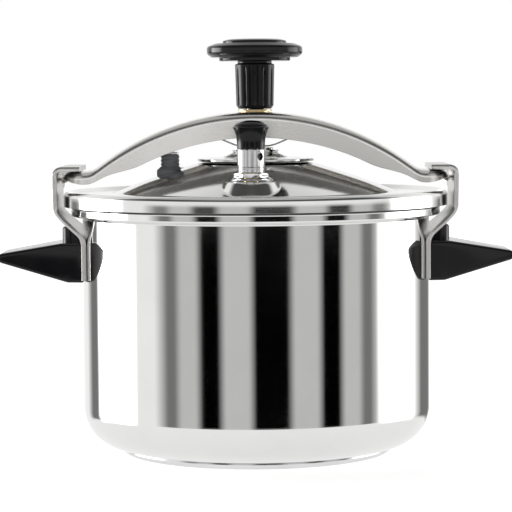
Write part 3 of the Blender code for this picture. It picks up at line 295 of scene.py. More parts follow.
# ---------------------------------------------------------------- materials
class Nodes:
    """A material's node tree, with short calls to add linked nodes."""

    def __init__(self, name, colour, metallic, roughness):
        self.material = bpy.data.materials.new(name)
        self.material.use_nodes = True
        self.tree = self.material.node_tree
        self.shader = self.tree.nodes["Principled BSDF"]
        self.set(self.shader, {"Base Color": (*colour, 1.0), "Metallic": metallic, "Roughness": roughness})
        self.material.diffuse_color = (*colour, 1.0)
        self.place = self.add("ShaderNodeTexCoord").outputs["Object"]

    def set(self, node, values):
        for key, value in values.items():
            if isinstance(value, bpy.types.NodeSocket):
                self.tree.links.new(value, node.inputs[key])
            else:
                node.inputs[key].default_value = value

    def add(self, kind, values=None, **settings):
        node = self.tree.nodes.new(kind)
        for key, value in settings.items():
            setattr(node, key, value)
        self.set(node, values or {})
        return node

    def math(self, operation, a, b=0.0):
        return self.add("ShaderNodeMath", {0: a, 1: b}, operation=operation).outputs[0]

    def noise(self, vector, scale, detail=3.0, roughness=0.5):
        return self.add("ShaderNodeTexNoise", {"Vector": vector, "Scale": scale, "Detail": detail,
                                               "Roughness": roughness}).outputs["Fac"]

    def stretched(self, scale):
        return self.add("ShaderNodeVectorMath", {0: self.place, 1: scale}, operation="MULTIPLY").outputs[0]

    def rings(self, along, across):
        """Coordinates that run slowly round the vertical axis and fast across it, up walls and over lids."""
        parts = self.add("ShaderNodeSeparateXYZ", {0: self.place})
        flat = self.add("ShaderNodeCombineXYZ", {0: parts.outputs[0], 1: parts.outputs[1]}).outputs[0]
        radius = self.add("ShaderNodeVectorMath", {0: flat}, operation="LENGTH").outputs["Value"]
        both = self.math("ADD", parts.outputs[2], radius)
        return self.add("ShaderNodeCombineXYZ", {
            0: self.math("MULTIPLY", parts.outputs[0], along), 1: self.math("MULTIPLY", parts.outputs[1], along),
            2: self.math("MULTIPLY", both, across)}).outputs[0]

    def range(self, value, low, high, from_low=0.3, from_high=0.7):
        return self.add("ShaderNodeMapRange", {"Value": value, "From Min": from_low, "From Max": from_high,
                                               "To Min": low, "To Max": high}).outputs["Result"]

    def mix(self, share, a, b):
        node = self.add("ShaderNodeMix", data_type="RGBA")
        for socket, value in (("Factor_Float", share), ("A_Color", a), ("B_Color", b)):
            inner = next(s for s in node.inputs if s.identifier == socket)
            if isinstance(value, bpy.types.NodeSocket):
                self.tree.links.new(value, inner)
            else:
                inner.default_value = value
        return next(s for s in node.outputs if s.identifier == "Result_Color")

    def bump(self, height, distance, normal=None):
        values = {"Height": height, "Distance": distance, "Strength": 1.0}
        if normal is not None:
            values["Normal"] = normal
        return self.add("ShaderNodeBump", values).outputs["Normal"]


def metal(name, colour, worn, low, high, grain, depth):
    """Steel or another metal. grain is "rings" or the scale of its brushing along each axis."""
    made = Nodes(name, colour, 1.0, low)
    lines = made.rings(9.0, 2600.0) if grain == "rings" else made.stretched(grain)
    brushing = made.noise(lines, 1.0, 4.0, 0.65)
    smudge = made.noise(made.place, 26.0, 5.0, 0.6)
    speck = made.noise(made.place, 900.0, 2.0)
    scratch_lines = made.add("ShaderNodeTexVoronoi", {"Vector": made.stretched((60.0, 190.0, 420.0)), "Scale": 1.0,
                                                      "Randomness": 1.0}, feature="DISTANCE_TO_EDGE")
    scratch = made.range(scratch_lines.outputs["Distance"], 1.0, 0.0, 0.0, 0.012)
    scratch = made.math("MULTIPLY", scratch, made.range(smudge, 0.0, 1.0, 0.5, 0.62))
    rough = made.range(made.math("ADD", made.math("MULTIPLY", brushing, 0.6), made.math("MULTIPLY", smudge, 0.4)),
                       low, high)
    rough = made.math("ADD", rough, made.math("MULTIPLY", scratch, 0.06))
    made.set(made.shader, {
        "Roughness": rough,
        "Base Color": made.mix(made.range(smudge, 0.0, 1.0), (*colour, 1.0), (*worn, 1.0)),
    })
    normal = made.bump(brushing, depth)
    normal = made.bump(speck, depth * 0.12, normal)
    normal = made.bump(made.math("MULTIPLY", scratch, -1.0), depth * 0.35, normal)
    made.set(made.shader, {"Normal": normal})
    return made.material


def plastic(name, colour, dusty, low, high, grain_scale, depth, ior=1.5, specular=0.5):
    """Moulded plastic or rubber, from its clean colour to its dusty one."""
    made = Nodes(name, colour, 0.0, low)
    smudge = made.noise(made.place, 55.0, 5.0, 0.6)
    grain = made.noise(made.place, grain_scale, 3.0)
    made.set(made.shader, {
        "IOR": ior, "Specular IOR Level": specular,
        "Roughness": made.range(made.math("ADD", made.math("MULTIPLY", smudge, 0.7),
                                          made.math("MULTIPLY", grain, 0.3)), low, high),
        "Base Color": made.mix(made.range(smudge, 0.0, 1.0), (*colour, 1.0), (*dusty, 1.0)),
        "Normal": made.bump(grain, depth, made.bump(made.noise(made.place, 120.0, 2.0), depth * 2.5)),
    })
    return made.material


POLISHED = metal("polished_steel_look", (0.83, 0.83, 0.82), (0.79, 0.79, 0.78), 0.035, 0.075, "rings", 1.6e-6)
LID_STEEL = metal("lid_steel_look", (0.80, 0.80, 0.79), (0.75, 0.75, 0.74), 0.06, 0.12, "rings", 2.2e-6)
BASE_STEEL = metal("base_steel_look", (0.80, 0.80, 0.80), (0.72, 0.72, 0.72), 0.10, 0.2, "rings", 3.0e-6)
ARCH_STEEL = metal("stirrup_steel_look", (0.88, 0.865, 0.835), (0.80, 0.785, 0.755), 0.20, 0.30,
                   (26.0, 1500.0, 1500.0), 5.0e-6)
LUG_STEEL = metal("lug_steel_look", (0.66, 0.65, 0.635), (0.58, 0.57, 0.555), 0.24, 0.36,
                  (900.0, 1500.0, 30.0), 5.0e-6)
FITTING_STEEL = metal("fitting_steel_look", (0.74, 0.74, 0.74), (0.66, 0.66, 0.66), 0.10, 0.22,
                      (1800.0, 1800.0, 300.0), 2.5e-6)
ALUMINIUM = metal("aluminium_look", (0.80, 0.80, 0.81), (0.70, 0.70, 0.71), 0.3, 0.45, "rings", 5.0e-6)
BRASS = metal("brass_look", (0.72, 0.57, 0.32), (0.60, 0.46, 0.25), 0.18, 0.32, (900.0, 900.0, 900.0), 3.0e-6)
BLACK = plastic("black_phenolic_look", (0.006, 0.006, 0.007), (0.010, 0.010, 0.011), 0.06, 0.13, 1400.0, 0.6e-6,
                ior=1.42, specular=0.3)
SILICONE = plastic("grey_silicone_look", (0.20, 0.207, 0.22), (0.25, 0.256, 0.265), 0.5, 0.66, 2200.0, 4.0e-6)
RUBBER = plastic("gasket_rubber_look", (0.12, 0.12, 0.12), (0.17, 0.17, 0.168), 0.5, 0.68, 2000.0, 4.0e-6)


# ---------------------------------------------------------------- pot
def pot_body():
    flare, edge = 0.004, 0.0011
    outer = rounded([
        (WALL_RADIUS - 0.0035, POT_HEIGHT), (RIM_RADIUS, POT_HEIGHT, edge),
        (RIM_RADIUS, POT_HEIGHT - RIM_DEPTH, edge), (WALL_RADIUS + flare, POT_HEIGHT - RIM_DEPTH)])[1:]
    lower = rounded([
        (WALL_RADIUS + flare, POT_HEIGHT - RIM_DEPTH),
        (WALL_RADIUS, POT_HEIGHT - RIM_DEPTH - flare / 3, flare / 4),
        (WALL_RADIUS, FLOOR_Z + POT_CORNER_RADIUS), (WALL_RADIUS, FLOOR_Z, POT_CORNER_RADIUS),
        (0.0, FLOOR_Z)], 32)[1:]
    bore = WALL_RADIUS - POT_WALL
    inner = rounded([
        (0.0, FLOOR_Z + POT_WALL), (bore, FLOOR_Z + POT_WALL, POT_CORNER_RADIUS - POT_WALL),
        (bore, POT_HEIGHT, 0.0015), (RIM_RADIUS, POT_HEIGHT)], 20)[:-1]
    outline = supported(outer + lower + inner, 0.0003, 0.03, closed=True)
    body = add_object("pot_body", turned(outline, 240, closed=True))
    piece(body, "pot", ["pot_shell"], POLISHED)


def base():
    cap = rounded([(BASE_CAP_RADIUS, BASE_CAP_HEIGHT), (BASE_CAP_RADIUS, 0.0, BASE_CAP_EDGE), (0.0, 0.0)])
    inside = rounded([
        (0.0, BASE_CAP_SHEET), (BASE_CAP_RADIUS - BASE_CAP_SHEET, BASE_CAP_SHEET, BASE_CAP_EDGE - BASE_CAP_SHEET),
        (BASE_CAP_RADIUS - BASE_CAP_SHEET, BASE_CAP_HEIGHT)])
    outline = supported(cap + inside, 0.0002, 0.03, closed=True)
    shell = add_object("base_shell", turned(outline, 240, closed=True))
    piece(shell, "pot", ["base_cap"], BASE_STEEL)


# ---------------------------------------------------------------- lugs and handles
def lug_plate(outward, inward, side, room=0.0, fine=True):
    half_sheet = LUG_SHEET / 2
    line = rounded([
        (LUG_WALL_RADIUS + half_sheet, LUG_FOOT_Z - room), (LUG_WALL_RADIUS + half_sheet, LUG_BEND_Z, 0.014),
        (LUG_HEAD_X + half_sheet, POT_HEIGHT - 0.0015, 0.010),
        (LUG_HEAD_X + half_sheet + 0.0004, LIP_Z + half_sheet, 0.0045),
        (LUG_HEAD_X + LUG_SHEET - LUG_LIP_REACH, LIP_Z + half_sheet)], 12 if fine else 5)
    path = [Vector(p) for p in (supported(line, 0.0003, 0.0025) if fine else line)]
    across = np.linspace(-1, 1, 25 if fine else 6)
    edge = [(math.sin(a) ** 3, math.cos(a) ** 3) for a in np.linspace(math.pi / 2, 0, 5)[1:]] if fine else []
    sheet = (outward + inward) / 2
    middle = (outward - inward) / 2
    section = [(outward, share, LUG_EDGE if fine else 0.0) for share in across]
    section += [(middle + sheet * (1 - back), 1.0, LUG_EDGE * front) for front, back in edge]
    section += [(middle - sheet * (1 - back), 1.0, LUG_EDGE * front) for front, back in edge[-2::-1]]
    section += [(-inward, share, LUG_EDGE if fine else 0.0) for share in across[::-1]]
    section += [(middle - sheet * (1 - back), -1.0, LUG_EDGE * front) for front, back in edge]
    section += [(middle + sheet * (1 - back), -1.0, LUG_EDGE * front) for front, back in edge[-2::-1]]
    head_z = POT_HEIGHT + 0.012
    rows = []
    for i, here in enumerate(path):
        along = (path[min(i + 1, len(path) - 1)] - path[max(i - 1, 0)]).normalized()
        normal = Vector((along.y, -along.x))
        hug = 1 - smoothstep(here.y, LUG_BEND_Z, POT_HEIGHT - 0.003)
        half = LUG_NECK_HALF_WIDTH + (LUG_HALF_WIDTH - LUG_NECK_HALF_WIDTH) * (
            1 - smoothstep(here.y, LUG_BEND_Z, POT_HEIGHT))
        ear = LUG_EAR_LENGTH * smoothstep(here.y, head_z - 0.002, head_z + 0.007)
        lip = smoothstep(LUG_HEAD_X - here.x, 0.0, 0.004)
        rear = half + ear * (1 - 0.4 * lip)
        row = []
        for reach, share, tuck in section:
            spot = here + normal * reach
            y = share * ((half if share < 0 else rear) - tuck)
            turn_in = LUG_EAR_TURN_IN * (1 - lip) * smoothstep(y, half, half + LUG_EAR_LENGTH)
            sag = hug * (LUG_WALL_RADIUS - math.sqrt(LUG_WALL_RADIUS ** 2 - y ** 2))
            row.append((side * (spot.x - sag - turn_in), y, spot.y))
        rows.append(row)
    return skin(rows, ends="capped")


def lug(side, word):
    obj = add_object(word + "_lug_plate", lug_plate(LUG_SHEET / 2, LUG_SHEET / 2, side))
    piece(obj, "pot", [word + "_hook_lug"], LUG_STEEL)


def handle(side, word):
    root, tip = HANDLE_ROOT_X - 0.006, HANDLE_ROOT_X + HANDLE_LENGTH
    top = HANDLE_Z + HANDLE_ROOT_DEPTH
    tip_top = top - 0.007
    grip = rounded([
        (root, HANDLE_Z), (HANDLE_ROOT_X + 0.0046, HANDLE_Z, 0.004), (tip, tip_top - HANDLE_TIP_DEPTH, 0.0023),
        (tip, tip_top, 0.0023), (BOSS_X, top), (root, top)], 6)
    points, faces = prism(grip, -1.0, 1.0, "xz")
    for point in points:
        share = (point[0] - HANDLE_ROOT_X) / HANDLE_LENGTH
        point[1] *= HANDLE_ROOT_HALF_WIDTH + (HANDLE_TIP_HALF_WIDTH - HANDLE_ROOT_HALF_WIDTH) * share
        point[0] *= side
    obj = add_object(word + "_grip", (points, faces))
    bevelled(obj, 0.0017, 5)
    boss_rows = []
    for inset, z in [(0.0, top - 0.004), (0.0, top + 0.0005)] + [
            (BOSS_EDGE * (1 - math.cos(a)), BOSS_TOP_Z - BOSS_EDGE * (1 - math.sin(a)))
            for a in np.linspace(0, math.pi / 2, 7)]:
        half, end = BOSS_HALF_WIDTH - inset, BOSS_X - inset
        outline = rounded([(side * root, -half), (side * end, -half, 0.007 - inset),
                           (side * end, half, 0.007 - inset), (side * root, half)], 12)
        boss_rows.append([(x, y, z) for x, y in outline])
    boss = add_object("boss", skin(boss_rows, ends="capped"))
    combine(obj, boss, "UNION")
    room = split(lug_plate(LUG_SHEET / 2 + GAP, 0.008, side, GAP, False))
    combine(obj, add_object("lug_room", room), "DIFFERENCE")
    clear = WALL_RADIUS + 2 * GAP
    combine(obj, add_object("wall_room", turned([
        (0.0, HANDLE_Z - 0.01), (clear, HANDLE_Z - 0.01), (clear, LUG_BEND_Z - 0.006),
        (0.0, LUG_BEND_Z - 0.006)], 96)), "DIFFERENCE")
    screw_low, screw_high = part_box(word + "_handle_screw")
    spot = ((screw_low.x + screw_high.x) / 2, 0.0)
    seat = screw_low.z + 0.003 + GAP
    combine(obj, add_object("screw_face", turned([
        (0.0, seat - 0.02), (0.0044, seat - 0.02), (0.0044, seat), (0.0, seat)], 48, spot)), "DIFFERENCE")
    piece(applied(obj, math.radians(30)), "pot", [word + "_handle"], BLACK)


def slotted_screw(name, node, body):
    """A pan-head screw with a cross recess, head down, standing for a CAD screw."""
    low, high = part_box(node)
    spot = ((low.x + high.x) / 2, (low.y + high.y) / 2)
    radius = (high.x - low.x) / 2
    head = low.z + 0.003
    outline = supported(rounded([(0.0, low.z), (radius, low.z, 0.001), (radius, head), (0.002, head),
                                 (0.002, high.z), (0.0, high.z)]), 0.0001)
    obj = add_object(name, turned(outline, 48, spot))
    for a, b in ((0.0019, 0.00045), (0.00045, 0.0019)):
        arm = add_object("arm", prism([(spot[0] - a, spot[1] - b), (spot[0] + a, spot[1] - b),
                                       (spot[0] + a, spot[1] + b), (spot[0] - a, spot[1] + b)],
                                      low.z - 0.001, low.z + 0.0013))
        combine(obj, arm, "DIFFERENCE")
    piece(applied(obj), body, [node], FITTING_STEEL)


# ---------------------------------------------------------------- lid
def cone_z(radius):
    share = (CONE_RADIUS - radius) / (CONE_RADIUS - LID_CROWN_RADIUS)
    return CHANNEL_Z + (CROWN_Z - CHANNEL_Z) * share + 4 * CONE_BULGE * share * (1 - share)


def lid_outline(offset):
    cone = [(r, cone_z(r) - offset) for r in np.linspace(LID_CROWN_RADIUS, CONE_RADIUS, 24)[1:-1]]
    corners = [(0.0, CROWN_Z - offset), (LID_CROWN_RADIUS, CROWN_Z - offset), *cone,
               (CONE_RADIUS, CHANNEL_Z - offset, 0.010), (LID_RADIUS - 0.006, CHANNEL_Z - offset),
               (LID_RADIUS - 0.0042, LID_EDGE_Z - offset),
               (LID_RADIUS - offset, LID_EDGE_Z - offset, 0.0032 - offset), (LID_RADIUS - offset, SKIRT_Z)]
    return rounded(corners, 10)


def pad_shape(offset):
    """Presses the flat valve pad into the lid's form, with soft creases round it."""
    pad_z, soft = PAD_Z - offset, 0.0005

    def shape(radius, angle, z):
        away = np.hypot(radius * np.cos(angle) - VALVE_X, radius * np.sin(angle) - VALVE_Y)
        boss = pad_z - PAD_SLOPE * np.maximum(0.0, away - (PAD_RADIUS - offset))
        recess = pad_z + PAD_SLOPE * np.maximum(0.0, away - (PAD_RADIUS + offset))
        raised = 0.5 * (z + boss + np.sqrt((z - boss) ** 2 + soft ** 2))
        pressed = 0.5 * (raised + recess - np.sqrt((raised - recess) ** 2 + soft ** 2))
        near = (away < PAD_RADIUS + 0.012) & (radius < CONE_RADIUS + 0.02) & (z > CHANNEL_Z - offset - 0.0005)
        flat = away < PAD_RADIUS - offset - 0.001
        fade = np.clip((PAD_RADIUS + 0.012 - away) / 0.004, 0, 1)
        pressed = z + (pressed - z) * fade
        return radius, np.where(near, np.where(flat, pad_z, pressed), z)
    return shape


def lid():
    middle = math.atan2(VALVE_Y, VALVE_X)
    fine, span = math.radians(0.45), math.radians(20)
    angles = [middle - span + fine * k for k in range(int(2 * span / fine) + 1)]
    rest = 2 * math.pi - (angles[-1] - angles[0])
    count = 200
    angles += [angles[-1] + rest * k / count for k in range(1, count)]
    angles = np.array(angles)

    def refined(outline):
        made = []
        for a, b in zip(outline, outline[1:]):
            made.append(a)
            dense = 0.048 < min(a[0], b[0]) and max(a[0], b[0]) < 0.098
            count = math.ceil(math.dist(a, b) / (0.0006 if dense else 0.006))
            made += [tuple(Vector(a).lerp(Vector(b), k / count)) for k in range(1, count)]
        return made + [outline[-1]]

    rows = []
    for offset, flip in ((0.0, 1), (LID_SHEET, -1)):
        points, _ = turned(refined(lid_outline(offset)), shape=pad_shape(offset), angles=angles)
        grid = points.reshape(-1, len(angles), 3)[::flip]
        rows.append(grid)
    data = skin(np.concatenate(rows), ends="open")
    piece(add_object("lid_dome", data), "lid", ["lid_shell"], LID_STEEL)


def gasket():
    low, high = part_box("lid_gasket")
    outer, inner = high.x, high.x - 0.0115
    bottom, top, lip = low.z, high.z, 0.0016
    outline = rounded([
        (inner, bottom), (outer, bottom, 0.0006), (outer, top, 0.001), (inner + 0.002, top, 0.0004),
        (inner + 0.002, top - lip, 0.0004), (outer - 0.004, top - lip, 0.0003),
        (outer - 0.004, bottom + lip, 0.0003), (inner, bottom + lip)], 4)
    piece(add_object("sealing_ring", turned(supported(outline, 0.0001, 0.01, closed=True), 192, closed=True)), "lid",
          ["lid_gasket"], RUBBER)


def plate():
    r = PLATE_RADIUS
    outline = rounded([
        (0.0, PLATE_Z), (r - 0.004, PLATE_Z), (r, PLATE_Z + 0.0006, 0.0003), (r, PLATE_TOP_Z - 0.0006, 0.0004),
        (r - 0.006, PLATE_TOP_Z, 0.003), (0.0, PLATE_TOP_Z)])
    piece(add_object("lid_centre_disc", turned(supported(outline, 0.0001, 0.02), 192)), "lid", ["centre_plate"],
          LID_STEEL)


# ---------------------------------------------------------------- regulator and nozzle
def hexagon_nut(name, node, body, look, bore):
    low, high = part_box(node)
    centre = ((low.x + high.x) / 2, (low.y + high.y) / 2)
    flat = (high.y - low.y) / 2
    corner = flat / math.cos(math.pi / 6)
    cut = corner - flat
    z0, z1 = low.z, high.z
    obj = add_object(name, prism([(centre[0] + corner * math.cos(math.pi * k / 3),
                                   centre[1] + corner * math.sin(math.pi * k / 3)) for k in range(6)], z0, z1))
    blank = turned([(0.0, z0), (flat, z0), (corner, z0 + cut / 2), (corner, z1 - cut / 2), (flat, z1), (0.0, z1)],
                   96, centre)
    combine(obj, add_object("blank", blank), "INTERSECT")
    hole = turned([(0.0, z0 - 0.01), (bore, z0 - 0.01), (bore, z1 + 0.01), (0.0, z1 + 0.01)], 48, centre)
    combine(obj, add_object("bore", hole), "DIFFERENCE")
    bevelled(obj, 0.00015, 2, math.radians(25))
    piece(applied(obj, math.radians(25)), body, [node], look)


def washer():
    low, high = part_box("nozzle_washer")
    radius = (high.x - low.x) / 2
    bore, shoulder = NOZZLE_HOLE_RADIUS, 0.0093
    outline = rounded([
        (bore, low.z), (radius - 0.002, low.z), (radius, low.z + 0.0004, 0.0003),
        (radius, low.z + 0.0009, 0.0003), (shoulder, high.z, 0.001), (bore, high.z)], 5)
    data = turned(supported(outline, 0.0001, 0.01, closed=True), 96, (VALVE_X, VALVE_Y), closed=True)
    piece(add_object("nozzle_seat_disc", data), "lid", ["nozzle_washer"], FITTING_STEEL)


def regulator():
    low, high = weight_low, weight_high
    radius = (high.x - low.x) / 2
    cavity = radius - 0.0025
    z0, z1 = low.z, high.z
    outline = rounded([
        (cavity, z0), (radius, z0, 0.0004), (radius, z0 + 0.0022, 0.0002), (radius - 0.0003, z0 + 0.0026, 0.0002),
        (radius - 0.0003, z0 + 0.0032, 0.0002), (radius, z0 + 0.0036, 0.0002), (radius, z1, 0.0003),
        (cavity - 0.001, z1), (cavity - 0.001, z1 - 0.002), (cavity, z1 - 0.003)], 4)
    body = add_object("regulator_body", turned(supported(outline, 0.0001, 0.01, closed=True), 96,
                                               (VALVE_X, VALVE_Y), closed=True))
    drill = add_object("drill", turned([(0.0, 0.0), (0.0023, 0.0), (0.0023, 0.02), (0.0, 0.02)], 48))
    drill.data.transform(Matrix.Translation((VALVE_X, VALVE_Y, z1 - 0.0035 - 0.0023 / 3))
                         @ Matrix.Rotation(math.radians(-47), 4, "Z") @ Matrix.Rotation(math.pi / 2, 4, "Y"))
    combine(body, drill, "DIFFERENCE")
    bevelled(body, 0.0002, 2, math.radians(50))
    piece(applied(body, math.radians(30)), "regulator", ["regulator_weight"], FITTING_STEEL)

    low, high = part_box("regulator_cap")
    wide = (high.x - low.x) / 2
    flare, rim_z = wide - radius, low.z + 0.0131
    bore = cavity - 0.001
    profile = [(bore, low.z), (radius - 0.0003, low.z), (radius, low.z + 0.0003)]
    profile += [(radius + flare * (k / 24) ** 2.6, low.z + 0.0003 + (rim_z - low.z - 0.0003) * k / 24)
                for k in range(1, 25)]
    crown = high.z - rim_z
    profile += [(wide - 0.00025 * (1 - math.cos(a)), rim_z + 0.0004 * math.sin(a))
                for a in (math.pi / 2 * k / 4 for k in range(1, 5))]
    profile += [((wide - 0.0007) * math.cos(a), rim_z + 0.0004 + (crown - 0.0004) * math.sin(a))
                for a in (math.pi / 2 * k / 24 for k in range(1, 25))]
    profile[-1] = (0.0, high.z)
    ceiling = rim_z - 0.003
    profile += [(0.0, ceiling), (bore, ceiling)]
    data = turned(supported(profile, 0.0001, 0.01, closed=True), 96, (VALVE_X, VALVE_Y), closed=True)
    piece(add_object("regulator_top", data), "regulator", ["regulator_cap"], BLACK)


# ---------------------------------------------------------------- safety valve
def safety_valve():
    low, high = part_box("safety_valve_sleeve")
    inner, outer, foot = SAFETY_TUBE_HOLE_RADIUS, 0.006, 0.0085
    lid_z = cone_z(math.hypot(SAFETY_X, SAFETY_Y))
    start, end = lid_z + 0.0035, high.z - 0.0004
    profile = [(inner, low.z), (foot, low.z), (foot, lid_z + 0.0008), (foot - 0.0003, lid_z + 0.0013),
               (outer + 0.0008, start - 0.0010), (outer + 0.0002, start - 0.0003)]
    ribs, groove, steps = 3, 0.0005, 36
    profile += [(outer - groove + groove * (0.5 - 0.5 * math.cos(2 * ribs * math.pi * k / steps)),
                 start + (end - start) * k / steps) for k in range(steps + 1)]
    profile += [(outer - 0.0008, high.z - 0.0001), (outer - 0.0012, high.z), (inner, high.z)]

    def shape(radius, angle, z):
        away = np.hypot(SAFETY_X + radius * np.cos(angle), SAFETY_Y + radius * np.sin(angle))
        return radius, np.maximum(z, cone_z(away) + 0.0001)
    data = turned(supported(profile, 0.0001, 0.002, closed=True), 72, (SAFETY_X, SAFETY_Y), closed=True,
                  shape=shape)
    piece(add_object("safety_sleeve", data), "lid", ["safety_valve_sleeve"], SILICONE)

    low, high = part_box("safety_valve_pin")
    radius, head = (high.x - low.x) / 2, high.z - 0.0011
    outline = rounded([(0.0, low.z), (0.0014, low.z, 0.0004), (0.0014, head), (radius, head, 0.0002),
                       (radius, high.z, 0.0004), (0.0, high.z)], 5)
    data = turned(supported(outline, 0.0001, 0.01), 64, (SAFETY_X, SAFETY_Y))
    piece(add_object("safety_pin_button", data), "safety_pin", ["safety_valve_pin"], FITTING_STEEL)


# ---------------------------------------------------------------- stirrup
def ridge_z(x):
    run = STIRRUP_HALF_LENGTH - TONGUE_LENGTH
    radius = (run ** 2 + STIRRUP_RISE ** 2) / (2 * STIRRUP_RISE)
    above = STIRRUP_RISE - radius + math.sqrt(max(0.0, radius ** 2 - x ** 2))
    soft = 0.0022
    lowered = 0.5 * (math.hypot(STIRRUP_RISE, soft) - STIRRUP_RISE)
    return TONGUE_Z + 0.5 * (above + math.hypot(above, soft)) - lowered


def stirrup():
    """A pressed pan: a long outline with round ends, flanges, a rounded shoulder and a cambered back."""
    run = STIRRUP_HALF_LENGTH - TONGUE_LENGTH
    straight = STIRRUP_HALF_LENGTH - STIRRUP_END_HALF_WIDTH
    stations = [(x, 0.0, 1.0) for x in np.linspace(-straight, straight, 97)]
    tip = []
    for k in range(1, 25):
        t = math.pi / 2 * k / 24
        past = math.sin(t) ** (2 / 2.6)
        tip.append((straight + STIRRUP_END_HALF_WIDTH * past, past, math.cos(t)))
    stations = [(-x, p, w) for x, p, w in reversed(tip)] + stations + tip
    side = []
    for x, past, plan in stations:
        middle = max(0.0, 1 - (x / run) ** 2)
        half = STIRRUP_END_HALF_WIDTH + (STIRRUP_MID_HALF_WIDTH - STIRRUP_END_HALF_WIDTH) * middle
        deep = smoothstep(run - abs(x), 0.0, STIRRUP_RUN_OUT)
        depth = STIRRUP_END_DEPTH + (STIRRUP_MID_DEPTH - STIRRUP_END_DEPTH) * deep
        side.append((x, half * plan, depth - STIRRUP_END_LIFT * past ** 2))
    loop = side + [(x, -y, d) for x, y, d in reversed(side[1:-1])]
    count = len(loop)
    inward = []
    for i in range(count):
        a, b = loop[i - 1], loop[(i + 1) % count]
        along = Vector((b[0] - a[0], b[1] - a[1])).normalized()
        inward.append(Vector((along.y, -along.x)))
    camber = 0.0004
    rows = []
    for share in (0.0, 0.04, 0.2, 0.4, 0.6, 0.8, 0.97):
        rows.append([(x, y, ridge_z(x) - depth + (depth - STIRRUP_SHOULDER - camber) * share)
                     for x, y, depth in loop])
    arc = 10
    for k in range(arc + 1):
        a = math.pi / 2 * k / arc
        inset, drop = STIRRUP_SHOULDER * (1 - math.cos(a)), STIRRUP_SHOULDER * (1 - math.sin(a)) + camber
        row = []
        for (x, y, _), turn in zip(loop, inward):
            px, py = x + turn.x * inset, y + turn.y * inset
            py = max(0.0, py) if y > 0 else min(0.0, py)
            row.append((px, py, ridge_z(px) - drop))
        rows.append(row)
    last = rows[-1]
    for share in (0.97, 0.8, 0.55, 0.3, 0.0):
        rows.append([(x, y * share, z + camber * (1 - share ** 2)) for x, y, z in last])
    obj = add_object("stirrup_arch", skin(rows))
    top = max(obj.data.polygons, key=lambda p: p.center.z if abs(p.center.x) < 0.01 else -1.0)
    if top.normal.z < 0:
        obj.data.flip_normals()
    shell = obj.modifiers.new("sheet", "SOLIDIFY")
    shell.thickness, shell.offset = STIRRUP_SHEET, -1.0
    bevelled(obj, 0.0005, 3, math.radians(50))
    hole, below, above = BUSH_HOLE_RADIUS, RIDGE_Z - 0.02, RIDGE_Z + 0.01
    drill = turned([(0.0, below), (hole, below), (hole, above), (0.0, above)], 64)
    combine(obj, add_object("drill", drill), "DIFFERENCE")
    piece(applied(obj), "stirrup", ["stirrup"], ARCH_STEEL)


def bush():
    low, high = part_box("threaded_bush")
    bore, barrel, flange = 0.0061, 0.0088, high.x
    seat = high.z - 0.0012
    outline = rounded([(bore, low.z), (barrel, low.z, 0.0004), (barrel, seat), (flange, seat, 0.0002),
                       (flange, high.z, 0.0004), (bore, high.z)], 4)
    piece(add_object("stirrup_bush", turned(supported(outline, 0.0001, 0.01, closed=True), 96, closed=True)),
          "stirrup", ["threaded_bush"], BRASS)


# ---------------------------------------------------------------- foot, clip, spindle and knob
def foot():
    low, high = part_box("pressure_foot")
    wide, collar = high.x, 0.0116
    recess, top = 0.008, high.z - 0.0015
    outline = rounded([
        (recess, low.z), (wide, low.z, 0.0002), (wide, low.z + 0.0006, 0.0003), (collar - 0.001, top, 0.001),
        (collar, top, 0.0002), (collar, high.z, 0.0003), (0.0046, high.z), (0.0046, low.z + 0.0028),
        (recess, low.z + 0.0028)], 5)
    piece(add_object("clamp_foot", turned(supported(outline, 0.0001, 0.01, closed=True), 128, closed=True)),
          "foot", ["pressure_foot"], LID_STEEL)


def clip():
    radius, wire = 0.0076, 0.0005
    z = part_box("pressure_foot")[1].z + GAP + wire
    reach, bend_x, slope = 0.036, 0.0106, 0.42
    arm = [(reach - (reach - bend_x) * k / 10, radius, z + slope * (reach - bend_x) * (1 - k / 10))
           for k in range(10)]
    ease = [(bend_x - 0.002 * k, radius, z + 0.00042 * (1 - k) ** 2 * (k < 1)) for k in range(6)]
    turn = [(-radius * math.sin(a), radius * math.cos(a), z) for a in (math.pi * k / 32 for k in range(1, 32))]
    first = arm + ease + turn
    second = [(-x, -y, zz) for x, y, zz in reversed(arm + ease)]
    obj = add_object("lid_spring_wire", swept(first + second, wire))
    piece(obj, "foot", ["lid_clip_wire"], FITTING_STEEL)


def spindle():
    low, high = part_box("clamp_spindle")
    radius, journal, groove = high.x, 0.0045, 0.0038
    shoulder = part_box("pressure_foot")[1].z + GAP
    pitch, depth = 0.003, 0.0005
    outline = [(0.0, low.z), (journal - 0.0004, low.z), (journal, low.z + 0.0004), (journal, low.z + 0.0009),
               (groove, low.z + 0.0009), (groove, low.z + 0.0021), (journal, low.z + 0.0021), (journal, shoulder),
               (radius, shoulder + 0.0005)]
    outline += [(radius, z) for z in np.arange(shoulder + 0.0008, high.z - 0.001, pitch / 12)]
    outline += [(radius - 0.0005, high.z), (0.0022, high.z), (0.0022, high.z - 0.012), (0.0, high.z - 0.012)]

    def shape(r, angle, z):
        wave = np.abs(((z / pitch - angle / (2 * math.pi)) % 1.0) * 2 - 1)
        cut = depth * np.clip(wave * 1.5 - 0.25, 0, 1)
        inside = (r > radius - 1e-6) & (z > shoulder + 0.0007)
        return np.where(inside, r - cut, r), z
    piece(add_object("screw_spindle", turned(outline, 72, shape=shape)), "knob", ["clamp_spindle"],
          FITTING_STEEL)


